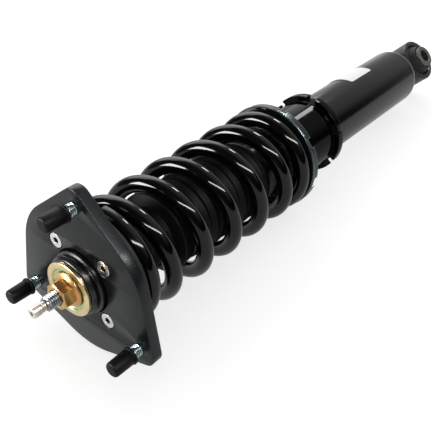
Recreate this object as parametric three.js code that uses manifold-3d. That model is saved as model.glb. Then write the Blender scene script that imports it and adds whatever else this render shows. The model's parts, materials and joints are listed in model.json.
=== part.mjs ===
// Height-adjustable coilover strut, lying on its side: a lobed top mount, a coil spring held
// between the mount and a threaded seat, a gas damper inside the spring, and a lower eye.
// Millimetres, +Z up. Every piece is made round the damper's own axis, where z is the distance
// along the axis from the outer face of the top plate; the whole strut is then laid on its
// two rests, the edge of the plate and the rim of the spring seat.
import * as THREE from 'three';
import { mergeVertices } from 'three/addons/utils/BufferGeometryUtils.js';
import Module from 'manifold-3d';

const wasm = await Module();
wasm.setup();

// Clearances and counts that every piece shares
const FIT_GAP = 0.3;
const THREAD_GAP = 0.4;
const CUT_OVER = 1;
const FULL_TURN = 2 * Math.PI;
const FINE_STEPS = 48;
const ROUND_STEPS = 32;
const MEDIUM_STEPS = 24;
const SMALL_STEPS = 16;
const HEX_STEPS = 6;

// Top plate: a disc with three lobes, each lobe a round corner joined by tangents to the disc
const PLATE_T = 8;
const PLATE_R = 54.6;
const PLATE_ARC_STEPS = 5;
const LOBE_ARC_STEPS = 6;
const LOBE_COUNT = 3;
const LOBE_TURN = 90;
const LOBE_CENTRE_R = 60;
const LOBE_R = 9;

// Mounting studs in the lobes, with soft caps over their threads
const STUD_R = 4;
const STUD_INSET = 4;
const STUD_CIRCLE_R = LOBE_CENTRE_R - STUD_INSET;
const STUD_OUT = 20.3;
const STUD_HEAD_R = 6.5;
const STUD_HEAD_T = 2.7;
const STUD_POINT = 0.8;
const CAP_WALL = 1.2;
const CAP_END_T = 2.9;
const CAP_ROUND = 1.6;
const CAP_LEN = 17;
const CAP_LIP_R = 6.2;
const CAP_LIP_T = 1.7;
const CAP_GROOVE = 0.4;

// Rubber bush, its steel sleeve and the washers that hold it
const BUSH_R = 22;
const COLLAR_R = 22.2;
const COLLAR_TOP_R = 19.6;
const COLLAR_H = 8.7;
const COLLAR_ROUND = 0.9;
const COLLAR_FOOT = 1;
const COLLAR_GAP = 0.8;
const BUSH_SLEEVE_WALL = 2.6;
const WASHER_R = 19.2;
const WASHER_T = 2.4;
const WASHER_RECESS_R = 14.2;
const WASHER_RECESS = 1.2;
const LOWER_WASHER_R = 14;
const LOWER_WASHER_T = 2.5;

// Damper rod with its threaded nose, the flanged nut on it and the adjuster in its end
const ROD_R = 10;
const ROD_NOSE_R = 5;
const ROD_NOSE_OUT = 29.3;
const ROD_POINT = 0.9;
const NUT_FLANGE_R = 12.4;
const NUT_FLANGE_T = 2.4;
const NUT_ACROSS = 17;
const NUT_H = 10.2;
const NEEDLE_R = 2;
const NEEDLE_LEN = 150;
const KNOB_R = 3.7;
const KNOB_LEN = 7.6;
const KNOB_NECK_R = 3;
const KNOB_NECK = 2;
const KNOB_END_T = 3;
const KNOB_SOCKET_ACROSS = 3;
const KNOB_SOCKET_DEPTH = 1.8;
const KNOB_EDGE = 0.5;

// Threaded damper tube, its gland and guide, and the piston stack inside
const TUBE_R = 26.5;
const TUBE_WALL = 3;
const THREAD_UNDER = 0.5;
const TUBE_BORE_R = TUBE_R - TUBE_WALL;
const THREAD_R = TUBE_R - THREAD_UNDER;
const TUBE_TOP_S = 142;
const TUBE_END_S = 430;
const TUBE_END_ROUND = 14;
const TUBE_END_STEPS = 4;
const TUBE_FLOOR_T = 8;
const GLAND_T = 4;
const GLAND_EDGE = 0.4;
const SEAL_OVER = 1.25;
const SEAL_R = (ROD_R + TUBE_BORE_R) / 2 + SEAL_OVER;
const SEAL_T = 4.1;
const GUIDE_T = 20;
const BORE_GAP = 0.5;
const PISTON_T = 12;
const BAND_T = 6;
const BAND_WALL = 2;
const PISTON_PIN_R = 6;
const PISTON_NUT_T = 6;
const PISTON_NUT_ACROSS = 19;
const PIN_OVER = 1.5;
const FLOAT_FROM_END = 100;
const FLOAT_S = TUBE_END_S - FLOAT_FROM_END;
const FLOAT_T = 12;
const RING_R = 1.5;
const RING_SIDES = 8;

// Threaded spring seat: a notched ring on the nose of a sleeve with a notched flange
const SEAT_FACE_S = 202.4;
const SEAT_T = 6.1;
const SEAT_LIP = 0.7;
const SEAT_FLANGE_T = 1.6;
const SEAT_CHAMFER = 0.7;
const SEAT_SPIGOT_LEN = 10.4;
const SEAT_NOTCHES = 8;
const SEAT_NOTCH_W = 8;
const SEAT_NOTCH_DEPTH = 3;
const SEAT_NOTCH_TURN = 144;
const SLEEVE_NOSE_WALL = 1.5;
const RING_SPIGOT_WALL = 2.3;
const SLEEVE_WALL = 2.8;
const SLEEVE_LEN = 48.2;
const GRIP_R = 34.3;
const GRIP_T = 7;
const GRIP_NOTCHES = 6;
const GRIP_NOTCH_W = 8.6;
const GRIP_NOTCH_DEPTH = 4.3;
const GRIP_NOTCH_TURN = 33;
const HUB_WALL = 1.9;
const HUB_LEN = 6.5;
const HUB_CHAMFER = 0.6;

// Coil spring: round wire, closed and ground at the seat, closed at the mount
const WIRE_R = 6;
const SPRING_GAP = 0.8;
const COIL_GAP = 0.5;
const COIL_START_TURNS = -0.758;
const COIL_RISE_TURNS = -0.147;
const COIL_CLOSE_TURNS = 5.059;
const COIL_END_TURNS = 6.278;
const COIL_SOFT_TURNS = 0.12;
const COIL_TIP_T = 2.8;
const CURL_STEPS = 8;
const WIRE_SIDES = 5;
const GAP_SAMPLES = 4;

// Bush housing behind the plate, and the pad under the spring
const HOUSING_FLANGE_T = 6;
const HOUSING_SHOULDER = 7.5;
const HOUSING_LEN = 17.7;
const HOUSING_LIP_R = 16;
const HOUSING_LIP_T = 4;
const PAD_T = 3.4;
const PAD_INSET = 0.8;

// Countersunk screws that hold the housing to the plate
const SCREW_COUNT = 4;
const SCREW_TURN = 45;
const SCREW_R = 3;
const SCREW_HEAD_R = 5.65;
const SCREW_SINK = 0.2;
const SCREW_LEN = 13;
const SOCKET_ACROSS = 4;
const SOCKET_DEPTH = 2.2;

// Bump stop on the rod, and the ribbed dust boot that hangs from it
const BUMP_R = 19.5;
const BUMP_LEN = 33.2;
const BUMP_WAIST = 2.2;
const BUMP_NOSE_R = 15;
const BOOT_GRIP = 4;
const BOOT_WALL = 1.3;
const BOOT_GAP = 0.6;
const BOOT_CREST_GAP = 1;
const BOOT_SHOULDER = 10;
const BOOT_FLANGE_T = 3;
const BOOT_END_S = 165;
const BOOT_CUFF = 4;
const BOOT_RIBS = 11;
const BOOT_TAPER_RIBS = 4;
const BOOT_TAPER = 1.4;

// Lower eye, its rubber bush and its steel sleeve
const EYE_REACH = 26.2;
const EYE_S = TUBE_END_S + EYE_REACH;
const EYE_R = 21.4;
const EYE_HALF = 15.2;
const EYE_TURN = 135;
const EYE_WALL = 4.6;
const EYE_NECK_R = 14.5;
const EYE_BUSH_OVER = 5.6;
const EYE_BUSH_LIP = 1.6;
const EYE_SLEEVE_OVER = 2.8;
const EYE_SLEEVE_R = 10.6;
const EYE_BOLT_R = 6.2;

// Blank label on the tube
const LABEL_S = 326;
const LABEL_LEN = 36.4;
const LABEL_TURN = 20;
const LABEL_SWEEP = 77;
const LABEL_T = 0.25;
const LABEL_STEPS = 7;

// Radii that follow from the thread outwards
const SLEEVE_BORE_R = THREAD_R + THREAD_GAP;
const NOSE_R = SLEEVE_BORE_R + SLEEVE_NOSE_WALL;
const SEAT_BORE_R = NOSE_R + FIT_GAP;
const SPIGOT_R = SEAT_BORE_R + RING_SPIGOT_WALL;
const SPRING_IN_R = SPIGOT_R + SPRING_GAP;
const SPRING_MEAN_R = SPRING_IN_R + WIRE_R;
const SPRING_OUT_R = SPRING_MEAN_R + WIRE_R;
const SEAT_R = SPRING_OUT_R + SEAT_LIP;
const HOUSING_R = SPIGOT_R + HOUSING_SHOULDER;
const HOUSING_BORE_R = BUSH_R + FIT_GAP;
const SCREW_CIRCLE_R = (HOUSING_BORE_R + HOUSING_R) / 2;
const ROD_HOLE_R = ROD_NOSE_R + FIT_GAP;
const BUSH_SLEEVE_R = ROD_NOSE_R + THREAD_GAP + BUSH_SLEEVE_WALL;
const NEEDLE_HOLE_R = NEEDLE_R + FIT_GAP;
const PISTON_R = TUBE_BORE_R - BORE_GAP;

// Places along the axis that follow from the plate inwards
const HOUSING_S = PLATE_T + FIT_GAP;
const SHOULDER_S = HOUSING_S + HOUSING_FLANGE_T;
const PAD_S = SHOULDER_S + FIT_GAP;
const SPRING_TOP_S = PAD_S + PAD_T + FIT_GAP;
const SPRING_END_S = SEAT_FACE_S - FIT_GAP;
const HOUSING_END_S = HOUSING_S + HOUSING_LEN;
const ROD_SHOULDER_S = HOUSING_END_S + LOWER_WASHER_T + FIT_GAP;
const BUMP_END_S = ROD_SHOULDER_S + BUMP_LEN;
const WASHER_S = -(COLLAR_H + FIT_GAP);
const RECESS_S = WASHER_S - WASHER_T + WASHER_RECESS;
const NUT_S = RECESS_S - FIT_GAP;
const KNOB_S = -(ROD_NOSE_OUT + FIT_GAP);
const GLAND_S = TUBE_TOP_S - FIT_GAP - GLAND_T;
const GUIDE_S = TUBE_TOP_S + SEAL_T;
const PISTON_S = GUIDE_S + GUIDE_T + 2 * FIT_GAP;
const SEAT_BACK_S = SEAT_FACE_S + SEAT_T;
const SLEEVE_S = SEAT_BACK_S + FIT_GAP;
const GRIP_S = SLEEVE_S + SLEEVE_LEN;
const HUB_S = GRIP_S + GRIP_T;
const THREAD_END_S = HUB_S + HUB_LEN + FIT_GAP;

// The wire's centre at its ends, and the open pitch that joins them
const CLOSED_PITCH = 2 * WIRE_R + COIL_GAP;
const COIL_FIRST_S = SPRING_TOP_S + WIRE_R;
const COIL_TIP_S = SPRING_END_S + WIRE_R - COIL_TIP_T;
const CLOSED_RISE = CLOSED_PITCH * (COIL_END_TURNS - COIL_CLOSE_TURNS);
const OPEN_RISE = COIL_TIP_S - COIL_FIRST_S - CLOSED_RISE;
const OPEN_PITCH = OPEN_RISE / (COIL_CLOSE_TURNS - COIL_RISE_TURNS);

const radians = THREE.MathUtils.degToRad;

// A copy of a geometry as one closed body: places only, shared corners merged, faces out
function closed(geometry) {
  const bare = new THREE.BufferGeometry();
  bare.setAttribute('position', geometry.attributes.position.clone());
  if (geometry.index) bare.setIndex([...geometry.index.array]);
  const merged = mergeVertices(bare);
  const corners = merged.index.array;
  const kept = [];
  for (let i = 0; i < corners.length; i += 3) {
    const [a, b, c] = [corners[i], corners[i + 1], corners[i + 2]];
    if (a !== b && b !== c && c !== a) kept.push(a, b, c);
  }
  merged.setIndex(kept);
  return volume(merged) < 0 ? flipped(merged) : merged;
}

function volume(geometry) {
  const at = geometry.attributes.position;
  const index = geometry.index.array;
  const [a, b, c] = [new THREE.Vector3(), new THREE.Vector3(), new THREE.Vector3()];
  let sum = 0;
  for (let i = 0; i < index.length; i += 3) {
    a.fromBufferAttribute(at, index[i]);
    b.fromBufferAttribute(at, index[i + 1]);
    c.fromBufferAttribute(at, index[i + 2]);
    sum += a.dot(b.cross(c)) / 6;
  }
  return sum;
}

function flipped(geometry) {
  const index = [...geometry.index.array];
  for (let i = 0; i < index.length; i += 3) {
    [index[i], index[i + 1]] = [index[i + 1], index[i]];
  }
  geometry.setIndex(index);
  return geometry;
}

// Joining and cutting
function solid(geometry) {
  const body = closed(geometry);
  const vertProperties = new Float32Array(body.attributes.position.array);
  const triVerts = new Uint32Array(body.index.array);
  return new wasm.Manifold(new wasm.Mesh({ numProp: 3, vertProperties, triVerts }));
}

function shell(body) {
  const { vertProperties, triVerts } = body.getMesh();
  const geometry = new THREE.BufferGeometry();
  geometry.setAttribute('position', new THREE.BufferAttribute(vertProperties, 3));
  geometry.setIndex(new THREE.BufferAttribute(triVerts, 1));
  return geometry;
}

function cut(base, tools) {
  return shell(tools.reduce((body, tool) => body.subtract(solid(tool)), solid(base)));
}

// A body turned from [radius, place along the axis] points; a flat of it always faces down
function turned(points, steps = ROUND_STEPS) {
  const profile = [...points, points[0]].map(([r, s]) => new THREE.Vector2(r, s));
  const halfStep = FULL_TURN / steps / 2;
  return new THREE.LatheGeometry(profile, steps, halfStep).rotateX(Math.PI / 2);
}

function rod(r, from, to, steps = ROUND_STEPS) {
  return turned([[0, from], [r, from], [r, to], [0, to]], steps);
}

function ring(inner, outer, from, to, steps = ROUND_STEPS) {
  return turned([[inner, from], [outer, from], [outer, to], [inner, to]], steps);
}

function hexagon(across, from, to) {
  return rod(across / Math.sqrt(3), from, to, HEX_STEPS);
}

// Moves a piece out from the axis to a radius, at an angle in degrees round it
function placed(geometry, radius, degrees) {
  const angle = radians(degrees);
  return geometry.translate(radius * Math.cos(angle), radius * Math.sin(angle), 0);
}

function around(count, firstDegrees) {
  return Array.from({ length: count }, (_, k) => firstDegrees + (360 / count) * k);
}

function arc(x, y, r, from, to, steps) {
  return Array.from({ length: steps + 1 }, (_, k) => {
    const angle = radians(from + ((to - from) * k) / steps);
    return new THREE.Vector2(x + r * Math.cos(angle), y + r * Math.sin(angle));
  });
}

// Blocks standing round the axis that cut notches into a rim
function notchTools(count, firstDegrees, rim, depth, width, from, to) {
  return around(count, firstDegrees).map((degrees) => {
    const reach = depth + CUT_OVER;
    const block = new THREE.BoxGeometry(reach, width, to - from);
    block.translate(rim - depth + reach / 2, 0, (from + to) / 2);
    return block.rotateZ(radians(degrees));
  });
}

const strut = new THREE.Group();

function add(name, geometry, color, roughness, metalness) {
  const material = new THREE.MeshStandardMaterial({ color, roughness, metalness });
  const mesh = new THREE.Mesh(closed(geometry), material);
  mesh.name = name;
  strut.add(mesh);
}

// Top plate
const LOBE_HALF = THREE.MathUtils.radToDeg(Math.acos((PLATE_R - LOBE_R) / LOBE_CENTRE_R));
const LOBE_STEP = 360 / LOBE_COUNT;

function plateOutline() {
  return around(LOBE_COUNT, LOBE_TURN).flatMap((at) => {
    const x = LOBE_CENTRE_R * Math.cos(radians(at));
    const y = LOBE_CENTRE_R * Math.sin(radians(at));
    const corner = arc(x, y, LOBE_R, at - LOBE_HALF, at + LOBE_HALF, LOBE_ARC_STEPS);
    const next = at + LOBE_STEP - LOBE_HALF;
    return [...corner, ...arc(0, 0, PLATE_R, at + LOBE_HALF, next, PLATE_ARC_STEPS)];
  });
}

// A countersunk screw's outline, and the hole that it needs when it is grown by a clearance
function screwProfile(grow, top, end) {
  const taper = SCREW_HEAD_R - SCREW_R;
  return [
    [0, top], [SCREW_HEAD_R + grow, top], [SCREW_HEAD_R + grow, SCREW_SINK],
    [SCREW_R + grow, SCREW_SINK + taper], [SCREW_R + grow, end], [0, end],
  ];
}

function screwHoles() {
  const end = SCREW_LEN + 2 * FIT_GAP;
  return around(SCREW_COUNT, SCREW_TURN).map((at) =>
    placed(turned(screwProfile(FIT_GAP, -CUT_OVER, end), SMALL_STEPS), SCREW_CIRCLE_R, at));
}

function topPlate() {
  const shape = new THREE.Shape(plateOutline());
  const disc = new THREE.ExtrudeGeometry(shape, { depth: PLATE_T, bevelEnabled: false });
  const over = PLATE_T + CUT_OVER;
  const centre = rod(COLLAR_R + COLLAR_GAP, -CUT_OVER, over);
  const studs = around(LOBE_COUNT, LOBE_TURN).map((at) =>
    placed(rod(STUD_R + FIT_GAP, -CUT_OVER, over, SMALL_STEPS), STUD_CIRCLE_R, at));
  return cut(disc, [centre, ...studs, ...screwHoles()]);
}

function screw(at) {
  const blank = turned(screwProfile(0, SCREW_SINK / 2, SCREW_LEN), SMALL_STEPS);
  const socket = hexagon(SOCKET_ACROSS, -CUT_OVER, SCREW_SINK + SOCKET_DEPTH);
  return placed(cut(blank, [socket]), SCREW_CIRCLE_R, at);
}

// Mounting stud: thread outwards through the plate, flat head behind it
function stud(at) {
  const head = PLATE_T + FIT_GAP;
  const profile = [
    [0, -STUD_OUT], [STUD_R - STUD_POINT, -STUD_OUT], [STUD_R, STUD_POINT - STUD_OUT],
    [STUD_R, head], [STUD_HEAD_R, head], [STUD_HEAD_R, head + STUD_HEAD_T],
    [0, head + STUD_HEAD_T],
  ];
  return placed(turned(profile, SMALL_STEPS), STUD_CIRCLE_R, at);
}

// Soft cap with a rounded closed end and a lip at its mouth
function studCap(at) {
  const bore = STUD_R + FIT_GAP;
  const outer = bore + CAP_WALL;
  const floor = -(STUD_OUT + FIT_GAP);
  const tip = floor - CAP_END_T;
  const mouth = tip + CAP_LEN;
  const lip = mouth - CAP_LIP_T;
  const groove = lip - CAP_LIP_T / 2;
  const profile = [
    [0, tip], [outer - CAP_ROUND, tip], [outer, tip + CAP_ROUND], [outer, groove],
    [outer - CAP_GROOVE, lip - CAP_GROOVE], [CAP_LIP_R, lip], [CAP_LIP_R, mouth],
    [bore, mouth], [bore, floor], [0, floor],
  ];
  return placed(turned(profile, SMALL_STEPS), STUD_CIRCLE_R, at);
}

// Housing behind the plate that holds the rubber bush and centres the spring
function bushHousing() {
  const lip = HOUSING_END_S - HOUSING_LIP_T;
  const blank = turned([
    [HOUSING_BORE_R, HOUSING_S], [HOUSING_R, HOUSING_S], [HOUSING_R, SHOULDER_S],
    [SPIGOT_R, SHOULDER_S], [SPIGOT_R, HOUSING_END_S], [HOUSING_LIP_R, HOUSING_END_S],
    [HOUSING_LIP_R, lip], [HOUSING_BORE_R, lip],
  ]);
  return cut(blank, screwHoles());
}

function springPad() {
  return ring(SPIGOT_R + FIT_GAP, SPRING_OUT_R - PAD_INSET, PAD_S, PAD_S + PAD_T);
}

function mountBush() {
  const bore = BUSH_SLEEVE_R + FIT_GAP;
  const end = HOUSING_END_S - HOUSING_LIP_T - FIT_GAP;
  return turned([
    [bore, -COLLAR_H], [COLLAR_TOP_R - COLLAR_ROUND, -COLLAR_H],
    [COLLAR_TOP_R, COLLAR_ROUND - COLLAR_H], [COLLAR_R, -COLLAR_FOOT], [COLLAR_R, 0],
    [BUSH_R, HOUSING_S], [BUSH_R, end], [bore, end],
  ]);
}

function bushSleeve() {
  const end = HOUSING_END_S - FIT_GAP;
  return ring(ROD_NOSE_R + THREAD_GAP, BUSH_SLEEVE_R, -COLLAR_H, end, MEDIUM_STEPS);
}

function topWasher() {
  const rim = WASHER_S - WASHER_T;
  return turned([
    [ROD_HOLE_R, RECESS_S], [WASHER_RECESS_R, RECESS_S], [WASHER_RECESS_R, rim],
    [WASHER_R, rim], [WASHER_R, WASHER_S], [ROD_HOLE_R, WASHER_S],
  ]);
}

function lowerWasher() {
  const end = HOUSING_END_S + LOWER_WASHER_T;
  return ring(ROD_HOLE_R, LOWER_WASHER_R, HOUSING_END_S, end, MEDIUM_STEPS);
}

function rodNut() {
  const top = NUT_S - NUT_H;
  const flange = rod(NUT_FLANGE_R, NUT_S - NUT_FLANGE_T, NUT_S, MEDIUM_STEPS);
  const body = solid(hexagon(NUT_ACROSS, top, NUT_S)).add(solid(flange));
  const bore = rod(ROD_HOLE_R, top - CUT_OVER, NUT_S + CUT_OVER, MEDIUM_STEPS);
  return shell(body.subtract(solid(bore)));
}

// Rod: threaded nose, thick shank, and a pin for the piston; bored from its nose for the needle
function pistonRod() {
  const pinEnd = PISTON_S + PISTON_T + PISTON_NUT_T + FIT_GAP + PIN_OVER;
  const boreEnd = NEEDLE_LEN + KNOB_S + FIT_GAP;
  const pin = PISTON_S - FIT_GAP;
  return turned([
    [NEEDLE_HOLE_R, -ROD_NOSE_OUT], [ROD_NOSE_R - ROD_POINT, -ROD_NOSE_OUT],
    [ROD_NOSE_R, ROD_POINT - ROD_NOSE_OUT], [ROD_NOSE_R, ROD_SHOULDER_S],
    [ROD_R, ROD_SHOULDER_S], [ROD_R, pin], [PISTON_PIN_R, pin], [PISTON_PIN_R, pinEnd],
    [0, pinEnd], [0, boreEnd], [NEEDLE_HOLE_R, boreEnd],
  ], MEDIUM_STEPS);
}

// Adjuster knob with a hexagon socket, on a needle that runs down the rod
function adjusterKnob() {
  const base = KNOB_S - KNOB_NECK;
  const tip = base - KNOB_LEN;
  const floor = tip + KNOB_END_T;
  const knob = turned([
    [0, tip], [KNOB_R - KNOB_EDGE, tip], [KNOB_R, tip + KNOB_EDGE], [KNOB_R, base],
    [KNOB_NECK_R, base], [KNOB_NECK_R, KNOB_S], [NEEDLE_HOLE_R, KNOB_S],
    [NEEDLE_HOLE_R, floor], [0, floor],
  ], SMALL_STEPS);
  const socket = hexagon(KNOB_SOCKET_ACROSS, tip - CUT_OVER, tip + KNOB_SOCKET_DEPTH);
  return cut(knob, [socket]);
}

function adjusterNeedle() {
  const top = KNOB_S - KNOB_NECK - KNOB_LEN + KNOB_END_T + FIT_GAP;
  return rod(NEEDLE_R, top, KNOB_S + NEEDLE_LEN, SMALL_STEPS);
}

// Bump stop: three soft bulges on the rod, narrowing to its nose
function bumpStop() {
  const [grip, third] = [BUMP_END_S - BOOT_GRIP, (BUMP_LEN - BOOT_GRIP) / 3];
  const waist = BUMP_R - BUMP_WAIST;
  const crests = [0, 1, 2].flatMap((k) => {
    const from = ROD_SHOULDER_S + k * third;
    return [[waist, from], [BUMP_R, from + third / 3], [BUMP_R, from + (2 * third) / 3]];
  });
  const bore = ROD_R + FIT_GAP;
  return turned([
    [bore, ROD_SHOULDER_S], ...crests, [waist, grip], [BUMP_NOSE_R, BUMP_END_S],
    [bore, BUMP_END_S],
  ], MEDIUM_STEPS);
}

// Dust boot: a collar that grips the last bulge of the bump stop, ribs, and an open cuff
function dustBoot() {
  const bore = THREAD_R + BOOT_GAP;
  const valley = bore + BOOT_WALL;
  const crest = SPRING_IN_R - BOOT_CREST_GAP;
  const grip = BUMP_R + FIT_GAP;
  const top = BUMP_END_S - 2 * BOOT_GRIP;
  const face = BUMP_END_S + BOOT_WALL;
  const shoulder = BUMP_END_S + BOOT_GRIP + BOOT_WALL;
  const ribsFrom = BUMP_END_S + BOOT_SHOULDER;
  const pitch = (BOOT_END_S - BOOT_CUFF - ribsFrom) / BOOT_RIBS;
  const ribs = Array.from({ length: BOOT_RIBS }, (_, k) => {
    const lower = BOOT_TAPER * Math.max(0, 1 - k / BOOT_TAPER_RIBS);
    return [[valley, ribsFrom + k * pitch], [crest - lower, ribsFrom + (k + 0.5) * pitch]];
  }).flat();
  return turned([
    [grip, top], [grip + BOOT_WALL, top], [grip + BOOT_WALL, face - BOOT_WALL],
    [crest, shoulder - BOOT_FLANGE_T / 2], [crest, shoulder + BOOT_FLANGE_T / 2], ...ribs,
    [valley, BOOT_END_S - BOOT_CUFF], [valley, BOOT_END_S], [bore, BOOT_END_S],
    [bore, shoulder + BOOT_FLANGE_T / 2], [grip, face + BOOT_WALL],
  ], MEDIUM_STEPS);
}

// Zero before a corner and its argument after it, with the corner rounded
function ramp(turns) {
  if (turns <= -COIL_SOFT_TURNS) return 0;
  if (turns >= COIL_SOFT_TURNS) return turns;
  return (turns + COIL_SOFT_TURNS) ** 2 / (4 * COIL_SOFT_TURNS);
}

function wireHeight(turns) {
  const open = OPEN_PITCH * ramp(turns - COIL_RISE_TURNS);
  const shut = (OPEN_PITCH - CLOSED_PITCH) * ramp(turns - COIL_CLOSE_TURNS);
  return COIL_FIRST_S + open - shut;
}

// Corner of the wire's section at a turn count; its corners lie outside the true circle and
// its chords inside it, by the same amount, and a flat of the section faces the axis
function wirePoint(turns, side) {
  const cornerR = (2 * SPRING_MEAN_R) / (1 + Math.cos(Math.PI / CURL_STEPS));
  const angle = (FULL_TURN * side) / WIRE_SIDES;
  const r = cornerR + WIRE_R * Math.cos(angle);
  const s = wireHeight(turns) + WIRE_R * Math.sin(angle);
  const around = FULL_TURN * turns;
  const height = THREE.MathUtils.clamp(s, SPRING_TOP_S, SPRING_END_S);
  return new THREE.Vector3(r * Math.cos(around), r * Math.sin(around), height);
}

function wireRings() {
  const turns = COIL_END_TURNS - COIL_START_TURNS;
  const steps = Math.round(turns * CURL_STEPS);
  return Array.from({ length: steps + 1 }, (_, k) => {
    const at = COIL_START_TURNS + (turns * k) / steps;
    return Array.from({ length: WIRE_SIDES }, (_, side) => wirePoint(at, side));
  });
}

function coilSpring(rings) {
  const points = rings.flat().flatMap((p) => p.toArray());
  const index = [];
  for (let k = 0; k + 1 < rings.length; k += 1) {
    for (let side = 0; side < WIRE_SIDES; side += 1) {
      const next = (side + 1) % WIRE_SIDES;
      const [a, b] = [k * WIRE_SIDES + side, k * WIRE_SIDES + next];
      index.push(a, b, b + WIRE_SIDES, a, b + WIRE_SIDES, a + WIRE_SIDES);
    }
  }
  const last = (rings.length - 1) * WIRE_SIDES;
  for (let side = 1; side + 1 < WIRE_SIDES; side += 1) {
    index.push(0, side + 1, side, last, last + side, last + side + 1);
  }
  const geometry = new THREE.BufferGeometry();
  geometry.setAttribute('position', new THREE.Float32BufferAttribute(points, 3));
  geometry.setIndex(index);
  return geometry;
}

// Least distance between surface points that are over half a turn apart along the wire
function leastGap(rings) {
  const samples = [];
  for (let k = 0; k + 1 < rings.length; k += 1) {
    for (let part = 0; part < GAP_SAMPLES; part += 1) {
      const share = part / GAP_SAMPLES;
      const here = rings[k].map((p, side) => p.clone().lerp(rings[k + 1][side], share));
      here.forEach((p, side) => {
        const next = here[(side + 1) % WIRE_SIDES];
        for (let i = 0; i < GAP_SAMPLES; i += 1) {
          samples.push([k + share, p.clone().lerp(next, i / GAP_SAMPLES)]);
        }
      });
    }
  }
  let least = Infinity;
  samples.forEach(([k, p]) => samples.forEach(([j, q]) => {
    if (j - k > CURL_STEPS / 2) least = Math.min(least, p.distanceToSquared(q));
  }));
  return Math.sqrt(least);
}

// Spring seat: ring with a full front flange and spanner notches behind it
function seatRing() {
  const blank = turned([
    [SEAT_BORE_R, SEAT_FACE_S - SEAT_SPIGOT_LEN], [SPIGOT_R, SEAT_FACE_S - SEAT_SPIGOT_LEN],
    [SPIGOT_R, SEAT_FACE_S], [SEAT_R - SEAT_CHAMFER, SEAT_FACE_S],
    [SEAT_R, SEAT_FACE_S + SEAT_CHAMFER], [SEAT_R, SEAT_BACK_S], [SEAT_BORE_R, SEAT_BACK_S],
  ], FINE_STEPS);
  const from = SEAT_FACE_S + SEAT_CHAMFER + SEAT_FLANGE_T;
  const over = SEAT_BACK_S + CUT_OVER;
  return cut(blank, notchTools(
    SEAT_NOTCHES, SEAT_NOTCH_TURN, SEAT_R, SEAT_NOTCH_DEPTH, SEAT_NOTCH_W, from, over));
}

// Threaded sleeve that carries the seat ring on its nose, with a notched grip and a hub
function adjusterSleeve() {
  const barrel = SLEEVE_BORE_R + SLEEVE_WALL;
  const hub = SLEEVE_BORE_R + HUB_WALL;
  const end = HUB_S + HUB_LEN;
  const nose = SEAT_FACE_S - SEAT_SPIGOT_LEN;
  const blank = turned([
    [SLEEVE_BORE_R, nose], [NOSE_R, nose], [NOSE_R, SLEEVE_S], [barrel, SLEEVE_S],
    [barrel, GRIP_S], [GRIP_R, GRIP_S], [GRIP_R, HUB_S], [hub, HUB_S],
    [hub, end - HUB_CHAMFER], [hub - HUB_CHAMFER, end], [SLEEVE_BORE_R, end],
  ]);
  return cut(blank, notchTools(GRIP_NOTCHES, GRIP_NOTCH_TURN, GRIP_R, GRIP_NOTCH_DEPTH,
    GRIP_NOTCH_W, GRIP_S - CUT_OVER, HUB_S + CUT_OVER));
}

// Damper tube: thread, plain body, and a rounded closed end
function damperTube() {
  const flat = TUBE_R - TUBE_END_ROUND;
  const bend = TUBE_END_S - TUBE_END_ROUND;
  const floor = TUBE_END_S - TUBE_FLOOR_T;
  const round = arc(bend, flat, TUBE_END_ROUND, 90, 0, TUBE_END_STEPS)
    .map(({ x, y }) => [y, x]);
  return turned([
    [TUBE_BORE_R, TUBE_TOP_S], [THREAD_R, TUBE_TOP_S], [THREAD_R, THREAD_END_S],
    [TUBE_R, THREAD_END_S], ...round, [0, TUBE_END_S], [0, floor],
    [TUBE_BORE_R - TUBE_FLOOR_T, floor], [TUBE_BORE_R, floor - TUBE_FLOOR_T],
  ]);
}

function glandNut() {
  const plug = TUBE_BORE_R - FIT_GAP;
  const cup = SEAL_R + FIT_GAP;
  const end = GUIDE_S - FIT_GAP;
  const edge = THREAD_R - GLAND_EDGE;
  return turned([
    [ROD_R + BORE_GAP, GLAND_S], [edge, GLAND_S], [edge, GLAND_S + GLAND_T],
    [plug, GLAND_S + GLAND_T], [plug, end], [cup, end], [cup, GLAND_S + GLAND_T - FIT_GAP],
    [ROD_R + BORE_GAP, GLAND_S + GLAND_T - FIT_GAP],
  ]);
}

function rodSeal() {
  const from = GLAND_S + GLAND_T;
  return ring(ROD_R + FIT_GAP, SEAL_R, from, from + SEAL_T, MEDIUM_STEPS);
}

function rodGuide() {
  return ring(ROD_R + FIT_GAP, TUBE_BORE_R - FIT_GAP, GUIDE_S, GUIDE_S + GUIDE_T);
}

// Piston with a groove for its sliding band
function dampingPiston() {
  const groove = PISTON_S + (PISTON_T - BAND_T) / 2 - FIT_GAP;
  const land = groove + BAND_T + 2 * FIT_GAP;
  const root = PISTON_R - BAND_WALL;
  const bore = PISTON_PIN_R + FIT_GAP;
  return turned([
    [bore, PISTON_S], [PISTON_R, PISTON_S], [PISTON_R, groove], [root, groove],
    [root, land], [PISTON_R, land], [PISTON_R, PISTON_S + PISTON_T],
    [bore, PISTON_S + PISTON_T],
  ]);
}

function pistonBand() {
  const from = PISTON_S + (PISTON_T - BAND_T) / 2;
  const inner = PISTON_R - BAND_WALL + FIT_GAP;
  return ring(inner, TUBE_BORE_R - FIT_GAP / 2, from, from + BAND_T);
}

function pistonNut() {
  const from = PISTON_S + PISTON_T + FIT_GAP;
  const blank = hexagon(PISTON_NUT_ACROSS, from, from + PISTON_NUT_T);
  const bore = PISTON_PIN_R + FIT_GAP;
  return cut(blank, [rod(bore, from - CUT_OVER, from + PISTON_NUT_T + CUT_OVER, SMALL_STEPS)]);
}

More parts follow.
